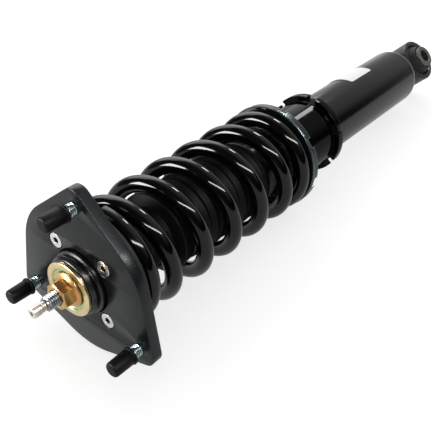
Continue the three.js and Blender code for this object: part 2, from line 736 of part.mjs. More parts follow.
// Floating piston that parts the oil from the gas, with a sealing ring in its groove
function floatingPiston() {
  const middle = FLOAT_S + FLOAT_T / 2;
  const half = RING_R + FIT_GAP;
  const root = TUBE_BORE_R - 2 * half;
  return turned([
    [0, FLOAT_S], [PISTON_R, FLOAT_S], [PISTON_R, middle - half], [root, middle - half],
    [root, middle + half], [PISTON_R, middle + half], [PISTON_R, FLOAT_S + FLOAT_T],
    [0, FLOAT_S + FLOAT_T],
  ]);
}

function sealRing() {
  const middle = FLOAT_S + FLOAT_T / 2;
  const centre = TUBE_BORE_R - FIT_GAP - RING_R;
  const section = Array.from({ length: RING_SIDES }, (_, k) => {
    const angle = (FULL_TURN * (k + 0.5)) / RING_SIDES;
    return [centre + RING_R * Math.cos(angle), middle + RING_R * Math.sin(angle)];
  });
  return turned(section);
}

// Turns a piece made along the strut's axis to lie along the eye's axis, at the eye's centre
function acrossEye(geometry) {
  return geometry.rotateY(Math.PI / 2).rotateZ(radians(EYE_TURN)).translate(0, 0, EYE_S);
}

function lowerEye() {
  const barrel = acrossEye(rod(EYE_R, -EYE_HALF, EYE_HALF));
  const neck = rod(EYE_NECK_R, TUBE_END_S + FIT_GAP, EYE_S, MEDIUM_STEPS);
  const bore = acrossEye(rod(EYE_R - EYE_WALL, -EYE_HALF - EYE_R, EYE_HALF + EYE_R));
  return shell(solid(barrel).add(solid(neck)).subtract(solid(bore)));
}

// Rubber ring that tapers to the sleeve where it stands out of the eye
function eyeBush() {
  const outer = EYE_R - EYE_WALL - FIT_GAP;
  const bore = EYE_SLEEVE_R + FIT_GAP;
  const half = EYE_HALF + EYE_BUSH_OVER;
  return acrossEye(turned([
    [bore, -half], [bore + EYE_BUSH_LIP, -half], [outer, -EYE_HALF], [outer, EYE_HALF],
    [bore + EYE_BUSH_LIP, half], [bore, half],
  ]));
}

function eyeSleeve() {
  const half = EYE_HALF + EYE_BUSH_OVER + EYE_SLEEVE_OVER;
  return acrossEye(ring(EYE_BOLT_R, EYE_SLEEVE_R, -half, half));
}

// Label: a thin curved patch that lies on the tube
function bodyLabel() {
  const inner = TUBE_R + FIT_GAP;
  const to = LABEL_TURN + LABEL_SWEEP;
  const outline = [
    ...arc(0, 0, inner, LABEL_TURN, to, LABEL_STEPS),
    ...arc(0, 0, inner + LABEL_T, to, LABEL_TURN, LABEL_STEPS),
  ];
  const options = { depth: LABEL_LEN, bevelEnabled: false };
  return new THREE.ExtrudeGeometry(new THREE.Shape(outline), options)
    .translate(0, 0, LABEL_S);
}

// Every piece, with its colour, roughness and metalness
add('top_plate', topPlate(), 0x2c3033, 0.45, 0.8);
around(LOBE_COUNT, LOBE_TURN).forEach((at, k) => {
  add(`mount_stud_${k + 1}`, stud(at), 0x8a8d8f, 0.35, 1);
  add(`stud_cap_${k + 1}`, studCap(at), 0x0c0c0d, 0.75, 0);
});
around(SCREW_COUNT, SCREW_TURN).forEach((at, k) => {
  add(`plate_screw_${k + 1}`, screw(at), 0xb9bcbe, 0.3, 1);
});
add('bush_housing', bushHousing(), 0x1c1e20, 0.5, 0.7);
add('upper_spring_pad', springPad(), 0x141415, 0.7, 0);
add('mount_bush', mountBush(), 0x0e0e0f, 0.55, 0);
add('bush_sleeve', bushSleeve(), 0x9a9d9f, 0.4, 1);
add('top_washer', topWasher(), 0xc2b57c, 0.3, 1);
add('lower_washer', lowerWasher(), 0x9a9d9f, 0.4, 1);
add('rod_nut', rodNut(), 0xb88a52, 0.35, 1);
add('piston_rod', pistonRod(), 0x8f9294, 0.25, 1);
add('damping_adjuster', adjusterKnob(), 0xc4b9a8, 0.35, 1);
add('adjuster_needle', adjusterNeedle(), 0x9a9d9f, 0.3, 1);
add('bump_stop', bumpStop(), 0x17171a, 0.8, 0);
add('dust_boot', dustBoot(), 0x121214, 0.7, 0);
const springRings = wireRings();
console.log(`coil_spring: least gap to itself ${leastGap(springRings).toFixed(2)} mm`);
add('coil_spring', coilSpring(springRings), 0x0a0a0b, 0.12, 0.1);
add('spring_seat_ring', seatRing(), 0x3d484c, 0.4, 0.8);
add('adjuster_sleeve', adjusterSleeve(), 0x101113, 0.2, 0.5);
add('damper_tube', damperTube(), 0x2a2b2d, 0.45, 0.6);
add('gland_nut', glandNut(), 0x6d7073, 0.4, 1);
add('rod_seal', rodSeal(), 0x1a1a1a, 0.7, 0);
add('rod_guide', rodGuide(), 0x8f9294, 0.4, 1);
add('damping_piston', dampingPiston(), 0x8f9294, 0.4, 1);
add('piston_band', pistonBand(), 0x5c4a3a, 0.6, 0);
add('piston_nut', pistonNut(), 0x8f9294, 0.4, 1);
add('floating_piston', floatingPiston(), 0x9fa2a4, 0.4, 1);
add('floating_piston_ring', sealRing(), 0x121212, 0.7, 0);
add('lower_eye', lowerEye(), 0x232426, 0.4, 0.8);
add('eye_bush', eyeBush(), 0x0d0d0e, 0.75, 0);
add('eye_sleeve', eyeSleeve(), 0xa5a8aa, 0.4, 1);
add('body_label', bodyLabel(), 0xeeeeea, 0.5, 0);

// Lays the strut down: its axis along X, tilted until the plate and the seat ring both touch
const plateHalfStep = radians((LOBE_STEP / 2 - LOBE_HALF) / PLATE_ARC_STEPS);
const plateFlat = PLATE_R * Math.cos(plateHalfStep);
const seatFlat = SEAT_R * Math.cos(Math.PI / FINE_STEPS);
strut.matrixAutoUpdate = false;
strut.matrix.makeBasis(
  new THREE.Vector3(0, 1, 0), new THREE.Vector3(0, 0, 1), new THREE.Vector3(1, 0, 0));
const laid = new THREE.Group();
laid.rotation.y = Math.atan2(plateFlat - seatFlat, SEAT_BACK_S - PLATE_T);
laid.add(strut);

// Sets the middle of the footprint at the origin, with the lowest point at zero
const part = new THREE.Group();
part.name = 'coilover_strut';
part.add(laid);
part.updateMatrixWorld(true);
const box = new THREE.Box3().setFromObject(part, true);
const middle = box.getCenter(new THREE.Vector3());
part.position.set(-middle.x, -middle.y, -box.min.z);

export default part;
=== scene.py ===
"""A height-adjustable coilover strut lying on a white studio floor.

Sizes are in millimetres and places are given round the strut's own axis: radius, turn in
degrees, and distance along the axis from the outer face of the top plate. finish_piece() brings
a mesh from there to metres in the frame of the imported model.
"""

import json
import math

import bmesh
import bpy
import numpy as np
from mathutils import Matrix, Vector


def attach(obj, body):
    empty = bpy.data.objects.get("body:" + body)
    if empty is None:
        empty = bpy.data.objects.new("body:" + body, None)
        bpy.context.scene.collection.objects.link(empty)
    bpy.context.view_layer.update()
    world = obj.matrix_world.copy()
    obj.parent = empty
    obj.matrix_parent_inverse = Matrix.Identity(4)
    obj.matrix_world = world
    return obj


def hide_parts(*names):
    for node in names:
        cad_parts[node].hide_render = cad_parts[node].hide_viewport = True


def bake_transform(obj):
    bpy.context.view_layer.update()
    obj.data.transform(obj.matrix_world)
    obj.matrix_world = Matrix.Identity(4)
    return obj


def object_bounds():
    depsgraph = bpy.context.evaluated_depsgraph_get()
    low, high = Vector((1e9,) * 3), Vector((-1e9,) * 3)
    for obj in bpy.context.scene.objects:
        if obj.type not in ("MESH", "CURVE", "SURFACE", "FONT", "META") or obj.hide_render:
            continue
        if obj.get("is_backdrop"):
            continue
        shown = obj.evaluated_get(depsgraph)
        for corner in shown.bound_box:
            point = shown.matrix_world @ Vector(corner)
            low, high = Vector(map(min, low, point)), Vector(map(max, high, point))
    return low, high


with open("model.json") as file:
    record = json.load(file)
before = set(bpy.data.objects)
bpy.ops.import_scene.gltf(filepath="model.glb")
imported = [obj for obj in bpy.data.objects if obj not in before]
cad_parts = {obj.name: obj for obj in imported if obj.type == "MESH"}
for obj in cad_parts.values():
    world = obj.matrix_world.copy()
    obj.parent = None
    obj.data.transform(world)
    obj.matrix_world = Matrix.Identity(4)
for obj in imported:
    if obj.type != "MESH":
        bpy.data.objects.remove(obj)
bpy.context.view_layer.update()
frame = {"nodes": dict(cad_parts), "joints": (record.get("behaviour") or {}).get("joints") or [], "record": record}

# The strut's own axis in the frame, from two of its joints
JOINTS = {joint["name"]: joint for joint in frame["joints"]}
ALONG = Vector(JOINTS["damper_stroke"]["axis"]).normalized()
FACE_CENTRE = Vector(JOINTS["rod_turn"]["pos_m"])
SIDE = Vector((0, 1, 0))
ABOVE = ALONG.cross(SIDE)
MM = 0.001
STRUT = Matrix.Translation(FACE_CENTRE) @ Matrix((SIDE, ABOVE, ALONG)).transposed().to_4x4()
LAY = STRUT @ Matrix.Scale(MM, 4)

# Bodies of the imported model
TUBE_BODY = "damper_body"
SLIDER_BODY = "piston_slider"
ROD_BODY = "rod_and_mount"
DIAL_BODY = "damping_dial"
SEAT_BODY = "spring_seat"
SLEEVE_BODY = "height_adjuster"
CORE_BODY = "eye_core"

# Steps round a turned piece, and the angle past which an edge is sharp
LARGE_STEPS = 144
MEDIUM_STEPS = 96
SMALL_STEPS = 48
SHARP_EDGE = math.radians(32)
FILLET_STEPS = 4

# Top plate
PLATE_T = 8
PLATE_R = 54.6
PLATE_EDGE = 0.55
LOBE_TURNS = (90, 210, 330)
LOBE_CENTRE_R = 60
LOBE_R = 9
PLATE_HOLE_R = 23
STUD_CIRCLE_R = 56
STUD_HOLE_R = 4.3
SCREW_TURNS = (45, 135, 225, 315)
SCREW_CIRCLE_R = 30.15
SCREW_HOLE_R = 5.95

# Studs, caps and screws
STUD_R = 4
STUD_OUT = 20.3
STUD_PITCH = 1.5
STUD_THREAD = 0.72
STUD_THREADED = (-19.9, -1.1)
STUD_TIP_R = 3.1
STUD_PLAIN = -0.6
STUD_HEAD_R = 6.5
STUD_HEAD = (8.3, 11)
CAP_TIP = -23.5
CAP_MOUTH = -6.5
CAP_R = 5.5
CAP_LIP_R = 6.2
CAP_LIP = -8.2
CAP_GROOVE = 0.35
CAP_BORE_R = 4.3
CAP_FLOOR = -20.6
SCREW_R = 3
SCREW_HEAD_R = 5.35
SCREW_FACE = 0.1
SCREW_RIM = 0.3
SCREW_END = 13
SCREW_TWISTS = (11, 48, 85, 122)
SOCKET_ACROSS = 4
SOCKET_DEPTH = 2.2
SOCKET_MOUTH = ((2.75, -0.5), (2.25, 0.35))

# Mount bush, washer and nut
BUSH_BORE_R = 8.3
BUSH_TOP = -8.7
BUSH_COLLAR_R = 19.7
BUSH_SHOULDER = (21.3, -6.3)
BUSH_WAIST = (20.5, -3)
BUSH_R = 22.2
BUSH_BEAD = (-2.3, -0.3)
BUSH_FOOT_R = 22
BUSH_FOOT = (0.6, 21.7)
WASHER_BORE_R = 5.3
WASHER_R = 19.2
WASHER_RIM = -11.4
WASHER_FACE = -9
WASHER_RECESS = -10.2
WASHER_RECESS_R = 14.2
WASHER_SLOPE = 0.7
NUT_FACE = -10.5
NUT_TOP = -20.7
NUT_ACROSS = 17
NUT_TURN = 18
NUT_CROWN_SLOPE = 0.55
NUT_BORE_R = 5.3
NUT_MOUTH = 1
NUT_FLANGE_R = 12.4
NUT_FLANGE_T = 2.4
NUT_FLANGE_LIP = 1.2
NUT_EDGE = 0.25

# Rod and dial
NOSE_R = 5
NOSE_OUT = 29.3
NOSE_PITCH = 1.5
NOSE_THREAD = 0.75
NOSE_THREADED = (-28.6, -8.6)
NOSE_TIP_R = 4
NOSE_PLAIN = -8
ROD_R = 10
ROD_SHOULDER = 28.8
ROD_PIN = 166.4
ROD_PIN_R = 6
ROD_PIN_END = 186.5
ROD_BORE_R = 2.3
ROD_BORE_END = 120.7
DIAL_R = 3.7
DIAL_TIP = -39.2
DIAL_BASE = -31.6
DIAL_FLOOR = -36.2
DIAL_NECK = 0.8
DIAL_SPIGOT_R = 3
DIAL_SPIGOT_END = -29.6
DIAL_BORE_R = 2.3
DIAL_FLUTES = 24
DIAL_FLUTE_R = 0.24
DIAL_FLUTE = (-37.6, -34.3)
DIAL_SOCKET = (3, 1.8)

# Housing, pad and bump stop
HOUSING_FACE = 8.3
HOUSING_R = 38.3
HOUSING_SHOULDER = 14.3
HOUSING_END = 26
HOUSING_BORE_R = 22.3
HOUSING_FLOOR = 22
HOUSING_BACK_R = 16
SCREW_TAP_R = 3.3
SCREW_TAP = (7, 13.6)
SPIGOT_R = 30.5
PAD_FACE = (14.6, 18)
PAD_R = (31.1, 42.5)
BUMP_R = 19.5
BUMP_BORE_R = 10.3
BUMP_GRIP = 58
BUMP_BULGES = 3
BUMP_GROOVE = 2.2
BUMP_NECK = ((15.6, 59), (15, 61.4), (14.4, 62))
BUMP_ROWS = 40

# Dust boot
BOOT_BORE_R = 26.6
BOOT_VALLEY_R = 27.7
BOOT_CREST_R = 30.3
BOOT_RIBS = 11
BOOT_RIBS_FROM = 72
BOOT_RIBS_TO = 161
BOOT_END = 165
BOOT_TOP = 58
BOOT_GRIP_R = 19.8
BOOT_COLLAR_R = 22.4
BOOT_COLLAR_END = 62.4
BOOT_SHOULDER = (65.4, 69.2)
BOOT_STEP = (70.4, 71.9)
BOOT_RIB_ROWS = 10
BOOT_CUFF_FROM = 162
BOOT_CUFF_T = 0.4
BOOT_INSIDE = (69, 64.6)

# Coil spring, in turns counted from the +Y side, and where its wire's centre runs
WIRE_R = 6
SPRING_R = 37.3
SPRING_TOP = 18.3
SPRING_END = 202.1
COIL_START = -0.758
COIL_RISE = -0.147
COIL_CLOSE = 5.059
COIL_END = 6.278
COIL_SOFT = 0.12
COIL_FIRST = 24.3
COIL_TIP = 205.3
CLOSED_PITCH = 12.5
COIL_SPLIT = 3.95
COIL_SHUT = 5.05
CURL_STEPS = 64
WIRE_STEPS = 28

# Spring seat and threaded sleeve
SEAT_R = 44
SEAT_FACE = 202.4
SEAT_BACK = 208.5
SEAT_NOSE = 192
SEAT_BORE_R = 28.2
SEAT_NOTCH_TURN = 144
SEAT_NOTCHES = 8
SEAT_NOTCH = (8, 3, 4.7)
SEAT_NOTCH_MIDDLE = 207.05
SLEEVE_BORE_R = 26.4
SLEEVE_NOSE_R = 27.9
SLEEVE_R = 29.2
SLEEVE_FRONT = 208.8
GRIP_FACE = 257
GRIP_BACK = 264
GRIP_R = 34.3
GRIP_NOTCH_TURN = 33
GRIP_NOTCHES = 6
GRIP_NOTCH = (8.6, 4.3, 9)
HUB_R = 28.3
HUB_END = 270.5

# Damper tube
THREAD_R = 26
THREAD_DEPTH = 1.05
THREAD_PITCH = 2
THREADED = (142.4, 269.6)
TUBE_TOP = 142
TUBE_STEP = 270.8
TUBE_R = 26.5
TUBE_BORE_R = 23.5
TUBE_END = 430
TUBE_ROUND = 14
TUBE_FLOOR = 422
TUBE_BORE_END = 414
TUBE_CONE_R = 15.5
GLAND = (137.7, 141.7)
GLAND_R = 25.6
GLAND_BORE_R = 10.5
GLAND_SKIRT_R = (18.3, 23.2)
GLAND_SKIRT_END = 145.8
GLAND_PINS = 4
GLAND_PIN_R = 2
GLAND_PIN_CIRCLE_R = 18
GLAND_PIN_DEPTH = 2.2

# Lower eye
EYE_ALONG = 456.2
EYE_R = 21.4
EYE_HALF = 15.2
EYE_TURN = 135
EYE_BORE_R = 16.8
EYE_NECK_R = 14.5
EYE_NECK_FROM = 430.3
EYE_NECK_WAIST = 436
EYE_MOUTH = 0.9
EYE_VOXEL = 0.7
EYE_SOFTENING = 6
WELD_STEPS = 180
WELD_SIDES = 14
WELD_OUT = (0.3, 0.9)
WELD_HALF = (2.1, 1.8)
WELD_RIPPLES = ((0.16, 34, 0), (0.07, 13, 1))
BUSH_HALF = 20.8
RING_BORE_R = 10.9
RING_TIP_R = 12.5
RING_MOUTH = (14.9, -14.4)
RING_R = 16.5
RING_HALF = 12.4
CORE_HALF = 23.6
CORE_R = 10.6
BOLT_R = 6.2

# Label
LABEL_ALONG = (326, 362.4)
LABEL_TURN = (20, 97)
LABEL_R = (26.78, 27.03)
LABEL_CORNER = 2.2
LABEL_STEPS = 24

# Floor, in metres, and the light of its own that the camera and reflections see
FLOOR_HALF = 4
FLOOR_SEEN = 0.7
FLOOR_REFLECTED = 0.42

# Camera, placed in metres from the middle of the plate's face
CAMERA_LENS = 55.09
CAMERA_SENSOR = 36
CAMERA_FROM_FACE = (-0.1849, -0.2613, 0.2940)
CAMERA_AHEAD = (0.6089, 0.4915, -0.6225)
CAMERA_RIGHT = (0.6281, -0.7780, 0)


# Node-building helpers

def node(tree, kind, inputs=(), **settings):
    """A new shader node, with its settings made and its inputs joined or set."""
    made = tree.nodes.new("ShaderNode" + kind)
    for key, value in settings.items():
        setattr(made, key, value)
    pairs = inputs.items() if isinstance(inputs, dict) else enumerate(inputs)
    for key, value in pairs:
        if isinstance(value, bpy.types.NodeSocket):
            tree.links.new(value, made.inputs[key])
        elif value is not None:
            made.inputs[key].default_value = value
    return made


def maths(tree, operation, *values, clamp=False):
    return node(tree, "Math", values, operation=operation, use_clamp=clamp).outputs[0]


def mapped(tree, value, from_low, from_high, to_low, to_high):
    inputs = (value, from_low, from_high, to_low, to_high)
    return node(tree, "MapRange", inputs, clamp=True).outputs[0]


def ramp(tree, value, stops):
    """A colour ramp with (place, colour) stops."""
    made = node(tree, "ValToRGB", (value,))
    elements = made.color_ramp.elements
    while len(elements) < len(stops):
        elements.new(0.5)
    for element, (place, colour) in zip(elements, stops):
        element.position = place
        element.color = (*colour, 1)
    return made.outputs[0]


def mixed(tree, share, one, other):
    """Mixes two colours."""
    one, other = ((*colour, 1) if isinstance(colour, tuple) else colour
                  for colour in (one, other))
    return node(tree, "Mix", {0: share, 6: one, 7: other}, data_type="RGBA").outputs[2]


def new_group(name, inputs, outputs):
    """A shader node group with named sockets; returns it with its input and output nodes."""
    group = bpy.data.node_groups.new(name, "ShaderNodeTree")
    for label, default in inputs:
        socket = group.interface.new_socket(label, in_out="INPUT", socket_type="NodeSocketFloat")
        socket.default_value = default
    for label, kind in outputs:
        group.interface.new_socket(label, in_out="OUTPUT", socket_type="NodeSocket" + kind)
    given = group.nodes.new("NodeGroupInput")
    result = group.nodes.new("NodeGroupOutput")
    return group, given, result


def use(tree, group, **values):
    """Places a group in a material, with values for its inputs by name."""
    made = tree.nodes.new("ShaderNodeGroup")
    made.node_tree = group
    for key, value in values.items():
        socket = made.inputs[key.replace("_", " ")]
        if isinstance(value, bpy.types.NodeSocket):
            tree.links.new(value, socket)
        else:
            socket.default_value = value
    return made


# Effects shared by several materials

def build_strut_place():
    """Place on the strut: millimetres along it, radius, turn, and the place as a vector."""
    group, _, result = new_group(
        "strut_place", (),
        (("Along", "Float"), ("Radius", "Float"), ("Turn", "Float"), ("Place", "Vector")))
    at = node(group, "TexCoord").outputs["Object"]
    moved = node(group, "VectorMath", (at, tuple(FACE_CENTRE)), operation="SUBTRACT").outputs[0]
    sides = []
    for axis in (SIDE, ABOVE, ALONG):
        part = node(group, "VectorMath", (moved, tuple(axis)), operation="DOT_PRODUCT")
        sides.append(maths(group, "DIVIDE", part.outputs["Value"], MM))
    place = node(group, "CombineXYZ", sides).outputs[0]
    flat = node(group, "CombineXYZ", (sides[0], sides[1])).outputs[0]
    radius = node(group, "VectorMath", (flat,), operation="LENGTH").outputs["Value"]
    turn = maths(group, "DIVIDE", maths(group, "ARCTAN2", sides[1], sides[0]), math.tau)
    for label, value in (("Along", sides[2]), ("Radius", radius), ("Turn", turn),
                         ("Place", place)):
        group.links.new(value, result.inputs[label])
    return group


def build_fine_grain():
    """Even fine grain, as of an anodised, sprayed or moulded surface."""
    group, given, result = new_group(
        "fine_grain", (("Size", 0.3), ("Detail", 4)), (("Grain", "Float"),))
    place = use(group, STRUT_PLACE).outputs["Place"]
    scale = maths(group, "DIVIDE", 1, given.outputs["Size"])
    noise = node(group, "TexNoise", {
        "Vector": place, "Scale": scale, "Detail": given.outputs["Detail"], "Roughness": 0.6})
    group.links.new(noise.outputs[0], result.inputs["Grain"])
    return group


def build_turning_marks():
    """Fine rings left by turning: they change along the strut and outwards, not round it."""
    group, given, result = new_group(
        "turning_marks", (("Spacing", 0.4), ("Wander", 0.15)), (("Marks", "Float"),))
    strut = use(group, STRUT_PLACE)
    across = maths(group, "DIVIDE", strut.outputs["Radius"], given.outputs["Spacing"])
    along = maths(group, "DIVIDE", strut.outputs["Along"], given.outputs["Spacing"])
    wander = maths(group, "MULTIPLY", strut.outputs["Turn"], given.outputs["Wander"])
    place = node(group, "CombineXYZ", (across, along, wander)).outputs[0]
    noise = node(group, "TexNoise", {"Vector": place, "Scale": 1, "Detail": 3, "Roughness": 0.7})
    group.links.new(noise.outputs[0], result.inputs["Marks"])
    return group


def build_handling():
    """Broad soft patches, as of fingerprints, thin oil and settled dust."""
    group, given, result = new_group(
        "handling", (("Size", 14), ("Contrast", 1)), (("Patches", "Float"),))
    place = use(group, STRUT_PLACE).outputs["Place"]
    scale = maths(group, "DIVIDE", 1, given.outputs["Size"])
    noise = node(group, "TexNoise", {
        "Vector": place, "Scale": scale, "Detail": 5, "Roughness": 0.55, "Distortion": 0.6})
    centred = maths(group, "SUBTRACT", noise.outputs[0], 0.5)
    spread = maths(group, "MULTIPLY", centred, given.outputs["Contrast"])
    group.links.new(maths(group, "ADD", spread, 0.5, clamp=True), result.inputs["Patches"])
    return group


def build_painted_edge_highlight():
    """Painted highlight: lighter colour along edges, standing in for light caught there: one on an edge, nothing
    on a flat.
    """
    group, given, result = new_group("painted_edge_highlight", (("Width", 0.4),), (("Rim", "Float"),))
    width = maths(group, "MULTIPLY", given.outputs["Width"], MM)
    soft = node(group, "Bevel", (width,), samples=6).outputs[0]
    normal = node(group, "NewGeometry").outputs["Normal"]
    same = node(group, "VectorMath", (soft, normal), operation="DOT_PRODUCT").outputs["Value"]
    group.links.new(mapped(group, same, 0.995, 0.86, 0, 1), result.inputs["Rim"])
    return group


def build_painted_hollow_shade():
    """Painted shade in narrow places, such as thread roots and sockets, found by ambient occlusion: one in a
    hollow.
    """
    group, given, result = new_group("painted_hollow_shade", (("Reach", 0.8),), (("Hollow", "Float"),))
    reach = maths(group, "MULTIPLY", given.outputs["Reach"], MM)
    open_to = node(group, "AmbientOcclusion", {"Distance": reach}, samples=8).outputs["AO"]
    group.links.new(mapped(group, open_to, 0.9, 0.45, 0, 1), result.inputs["Hollow"])
    return group


STRUT_PLACE = build_strut_place()
FINE_GRAIN = build_fine_grain()
TURNING_MARKS = build_turning_marks()
HANDLING = build_handling()
PAINTED_EDGE_HIGHLIGHT = build_painted_edge_highlight()
PAINTED_HOLLOW_SHADE = build_painted_hollow_shade()


# Materials

class Finish:
    """One material under construction: its tree, its shader and the shared effects."""

    def __init__(self, name, roughness=0.5, metallic=0.0, **sockets):
        self.material = bpy.data.materials.new(name)
        self.material.use_nodes = True
        self.tree = self.material.node_tree
        self.shader = self.tree.nodes["Principled BSDF"]
        self.shader.inputs["Roughness"].default_value = roughness
        self.shader.inputs["Metallic"].default_value = metallic
        for key, value in sockets.items():
            self.shader.inputs[key.replace("_", " ")].default_value = value

    def join(self, value, socket):
        self.tree.links.new(value, self.shader.inputs[socket])

    def grain(self, size, detail=4):
        return use(self.tree, FINE_GRAIN, Size=size, Detail=detail).outputs["Grain"]

    def marks(self, spacing, wander=0.15):
        return use(self.tree, TURNING_MARKS, Spacing=spacing, Wander=wander).outputs["Marks"]

    def patches(self, size, contrast=1.0):
        return use(self.tree, HANDLING, Size=size, Contrast=contrast).outputs["Patches"]

    # Mask of the painted edge highlight
    def rim(self, width):
        return use(self.tree, PAINTED_EDGE_HIGHLIGHT, Width=width).outputs["Rim"]

    # Mask of the painted shade in recesses
    def hollow(self, reach):
        return use(self.tree, PAINTED_HOLLOW_SHADE, Reach=reach).outputs["Hollow"]

    def radius(self, inner, outer):
        """Zero at the inner radius in millimetres and one at the outer."""
        radius = use(self.tree, STRUT_PLACE).outputs["Radius"]
        return mapped(self.tree, radius, inner, outer, 0, 1)

    def rough(self, value, low, high):
        self.join(mapped(self.tree, value, 0.25, 0.75, low, high), "Roughness")

    def bump(self, height, depth, strength=1.0):
        """Raises the surface by height times depth in millimetres."""
        made = node(self.tree, "Bump", {"Strength": strength, "Distance": depth * MM,
                                        "Height": height})
        self.join(made.outputs[0], "Normal")

    def colour(self, value, stops):
        self.join(ramp(self.tree, value, stops), "Base Color")

    def edged(self, value, stops, width, edge_highlight_colour):
        """A ramp of colours that turns to a lighter colour along the edges: a painted highlight."""
        base = ramp(self.tree, value, stops)
        self.join(mixed(self.tree, self.rim(width), base, edge_highlight_colour), "Base Color")


def plate_finish():
    """Satin dark teal-grey of the plate, with a lighter painted highlight along its edges."""
    finish = Finish("plate anodised", metallic=0.6, roughness=0.27)
    finish.edged(finish.patches(18, 1.2), (
        (0.3, (0.0125, 0.0155, 0.0168)), (0.7, (0.018, 0.0215, 0.0232))),
        0.6, (0.04, 0.055, 0.06))
    finish.rough(finish.grain(0.35), 0.22, 0.32)
    finish.bump(finish.grain(0.25, 3), 0.006)
    return finish.material


def housing_finish():
    """Satin black of the housing behind the plate, turned."""
    finish = Finish("housing anodised", roughness=0.42, Specular_IOR_Level=0.35)
    finish.colour(finish.marks(0.5), ((0.3, (0.003, 0.003, 0.003)), (0.7, (0.006, 0.006, 0.006))))
    finish.rough(finish.grain(0.4), 0.38, 0.52)
    finish.bump(finish.marks(0.35), 0.004)
    return finish.material


def steel_finish(name, dark, light, rough=(0.24, 0.4), spacing=0.3, root=None, reach=0.9):
    """Bright machined or plated steel with turning marks, and a root colour painted as shade in its recesses."""
    finish = Finish(name, metallic=1.0, roughness=sum(rough) / 2)
    base = ramp(finish.tree, finish.patches(6), ((0.25, dark), (0.75, light)))
    # Painted shade: the root colour darkens thread roots and sockets.
    if root:
        base = mixed(finish.tree, finish.hollow(reach), base, root)
    finish.join(base, "Base Color")
    finish.rough(finish.marks(spacing), *rough)
    finish.bump(finish.marks(spacing / 2), 0.003)
    return finish.material


def zinc_finish(name, stops, rough, span, shares):
    """Yellow chromate over zinc, whose film shifts its colour from place to place: shares are
    those of the patches, of the slant it is seen at, and of the radius over its span."""
    finish = Finish(name, metallic=1.0, roughness=sum(rough) / 2)
    facing = node(finish.tree, "LayerWeight", {"Blend": 0.35}).outputs["Facing"]
    film, slant, outward = shares
    value = maths(finish.tree, "MULTIPLY", finish.patches(5, 1.4), film)
    value = maths(finish.tree, "ADD", value, maths(finish.tree, "MULTIPLY", facing, slant))
    value = maths(finish.tree, "ADD", value,
                  maths(finish.tree, "MULTIPLY", finish.radius(*span), outward), clamp=True)
    finish.colour(value, stops)
    finish.rough(finish.marks(0.35), *rough)
    finish.bump(finish.marks(0.25), 0.003)
    return finish.material


def rubber_finish(name, low, high, rough=(0.5, 0.68), size=0.5, specular=0.35):
    """Moulded rubber or plastic with a fine even grain."""
    finish = Finish(name, roughness=sum(rough) / 2, Specular_IOR_Level=specular)
    finish.colour(finish.patches(9), ((0.3, low), (0.7, high)))
    finish.rough(finish.grain(size), *rough)
    finish.bump(finish.grain(size / 2, 3), 0.012)
    return finish.material


def spring_finish():
    """Thick gloss black coating with a faint orange peel."""
    finish = Finish("spring coating", roughness=0.09, Specular_IOR_Level=0.32)
    finish.colour(finish.patches(30), ((0.3, (0.0012, 0.0011, 0.001)),
                                       (0.7, (0.0022, 0.002, 0.0018))))
    finish.rough(finish.patches(12), 0.07, 0.11)
    finish.bump(finish.grain(3.2, 1), 0.01, 0.6)
    return finish.material


def gloss_finish():
    """Gloss black of the threaded sleeve, with a painted highlight along its edges."""
    finish = Finish("sleeve gloss black", roughness=0.1, Specular_IOR_Level=0.08)
    finish.edged(finish.patches(16), (
        (0.3, (0.001, 0.0012, 0.0015)), (0.7, (0.0018, 0.002, 0.0025))),
        0.3, (0.05, 0.053, 0.056))
    finish.rough(finish.marks(0.6), 0.07, 0.13)
    finish.bump(finish.marks(0.5), 0.002)
    return finish.material


def seat_finish():
    """Satin grey with a teal tint, turned; its edges carry a bright painted highlight, as on a lit chamfer."""
    finish = Finish("seat ring anodised", metallic=0.85, roughness=0.3)
    finish.edged(finish.marks(0.7), (
        (0.25, (0.025, 0.037, 0.041)), (0.75, (0.038, 0.055, 0.061))),
        0.6, (0.72, 0.78, 0.8))
    finish.rough(finish.grain(0.4), 0.24, 0.36)
    finish.bump(finish.marks(0.4), 0.003)
    return finish.material


def tube_finish():
    """Satin black coating of the damper body."""
    finish = Finish("tube satin black", roughness=0.16, Specular_IOR_Level=0.3)
    finish.colour(finish.patches(28), ((0.3, (0.0015, 0.0015, 0.0014)),
                                       (0.7, (0.003, 0.003, 0.0028))))
    finish.rough(finish.grain(0.6), 0.12, 0.2)
    finish.bump(finish.grain(0.45, 3), 0.002)
    return finish.material


def eye_finish():
    """Satin grey-black coating over a forging, with a painted highlight along its edges."""
    finish = Finish("eye satin coating", metallic=0.2, roughness=0.4, Coat_Weight=0.15,
                    Coat_Roughness=0.2)
    finish.edged(finish.patches(7), (
        (0.3, (0.009, 0.0092, 0.0092)), (0.7, (0.015, 0.0152, 0.0152))),
        0.5, (0.07, 0.072, 0.072))
    finish.rough(finish.grain(0.7), 0.33, 0.47)
    finish.bump(finish.grain(1.1, 5), 0.03)
    return finish.material


def label_finish():
    """Plain white film, faintly mottled."""
    finish = Finish("label white film", roughness=0.42)
    finish.colour(finish.patches(10, 0.8), ((0.3, (0.90, 0.905, 0.90)),
                                            (0.7, (0.94, 0.945, 0.94))))
    finish.rough(finish.grain(1.2), 0.36, 0.48)
    return finish.material


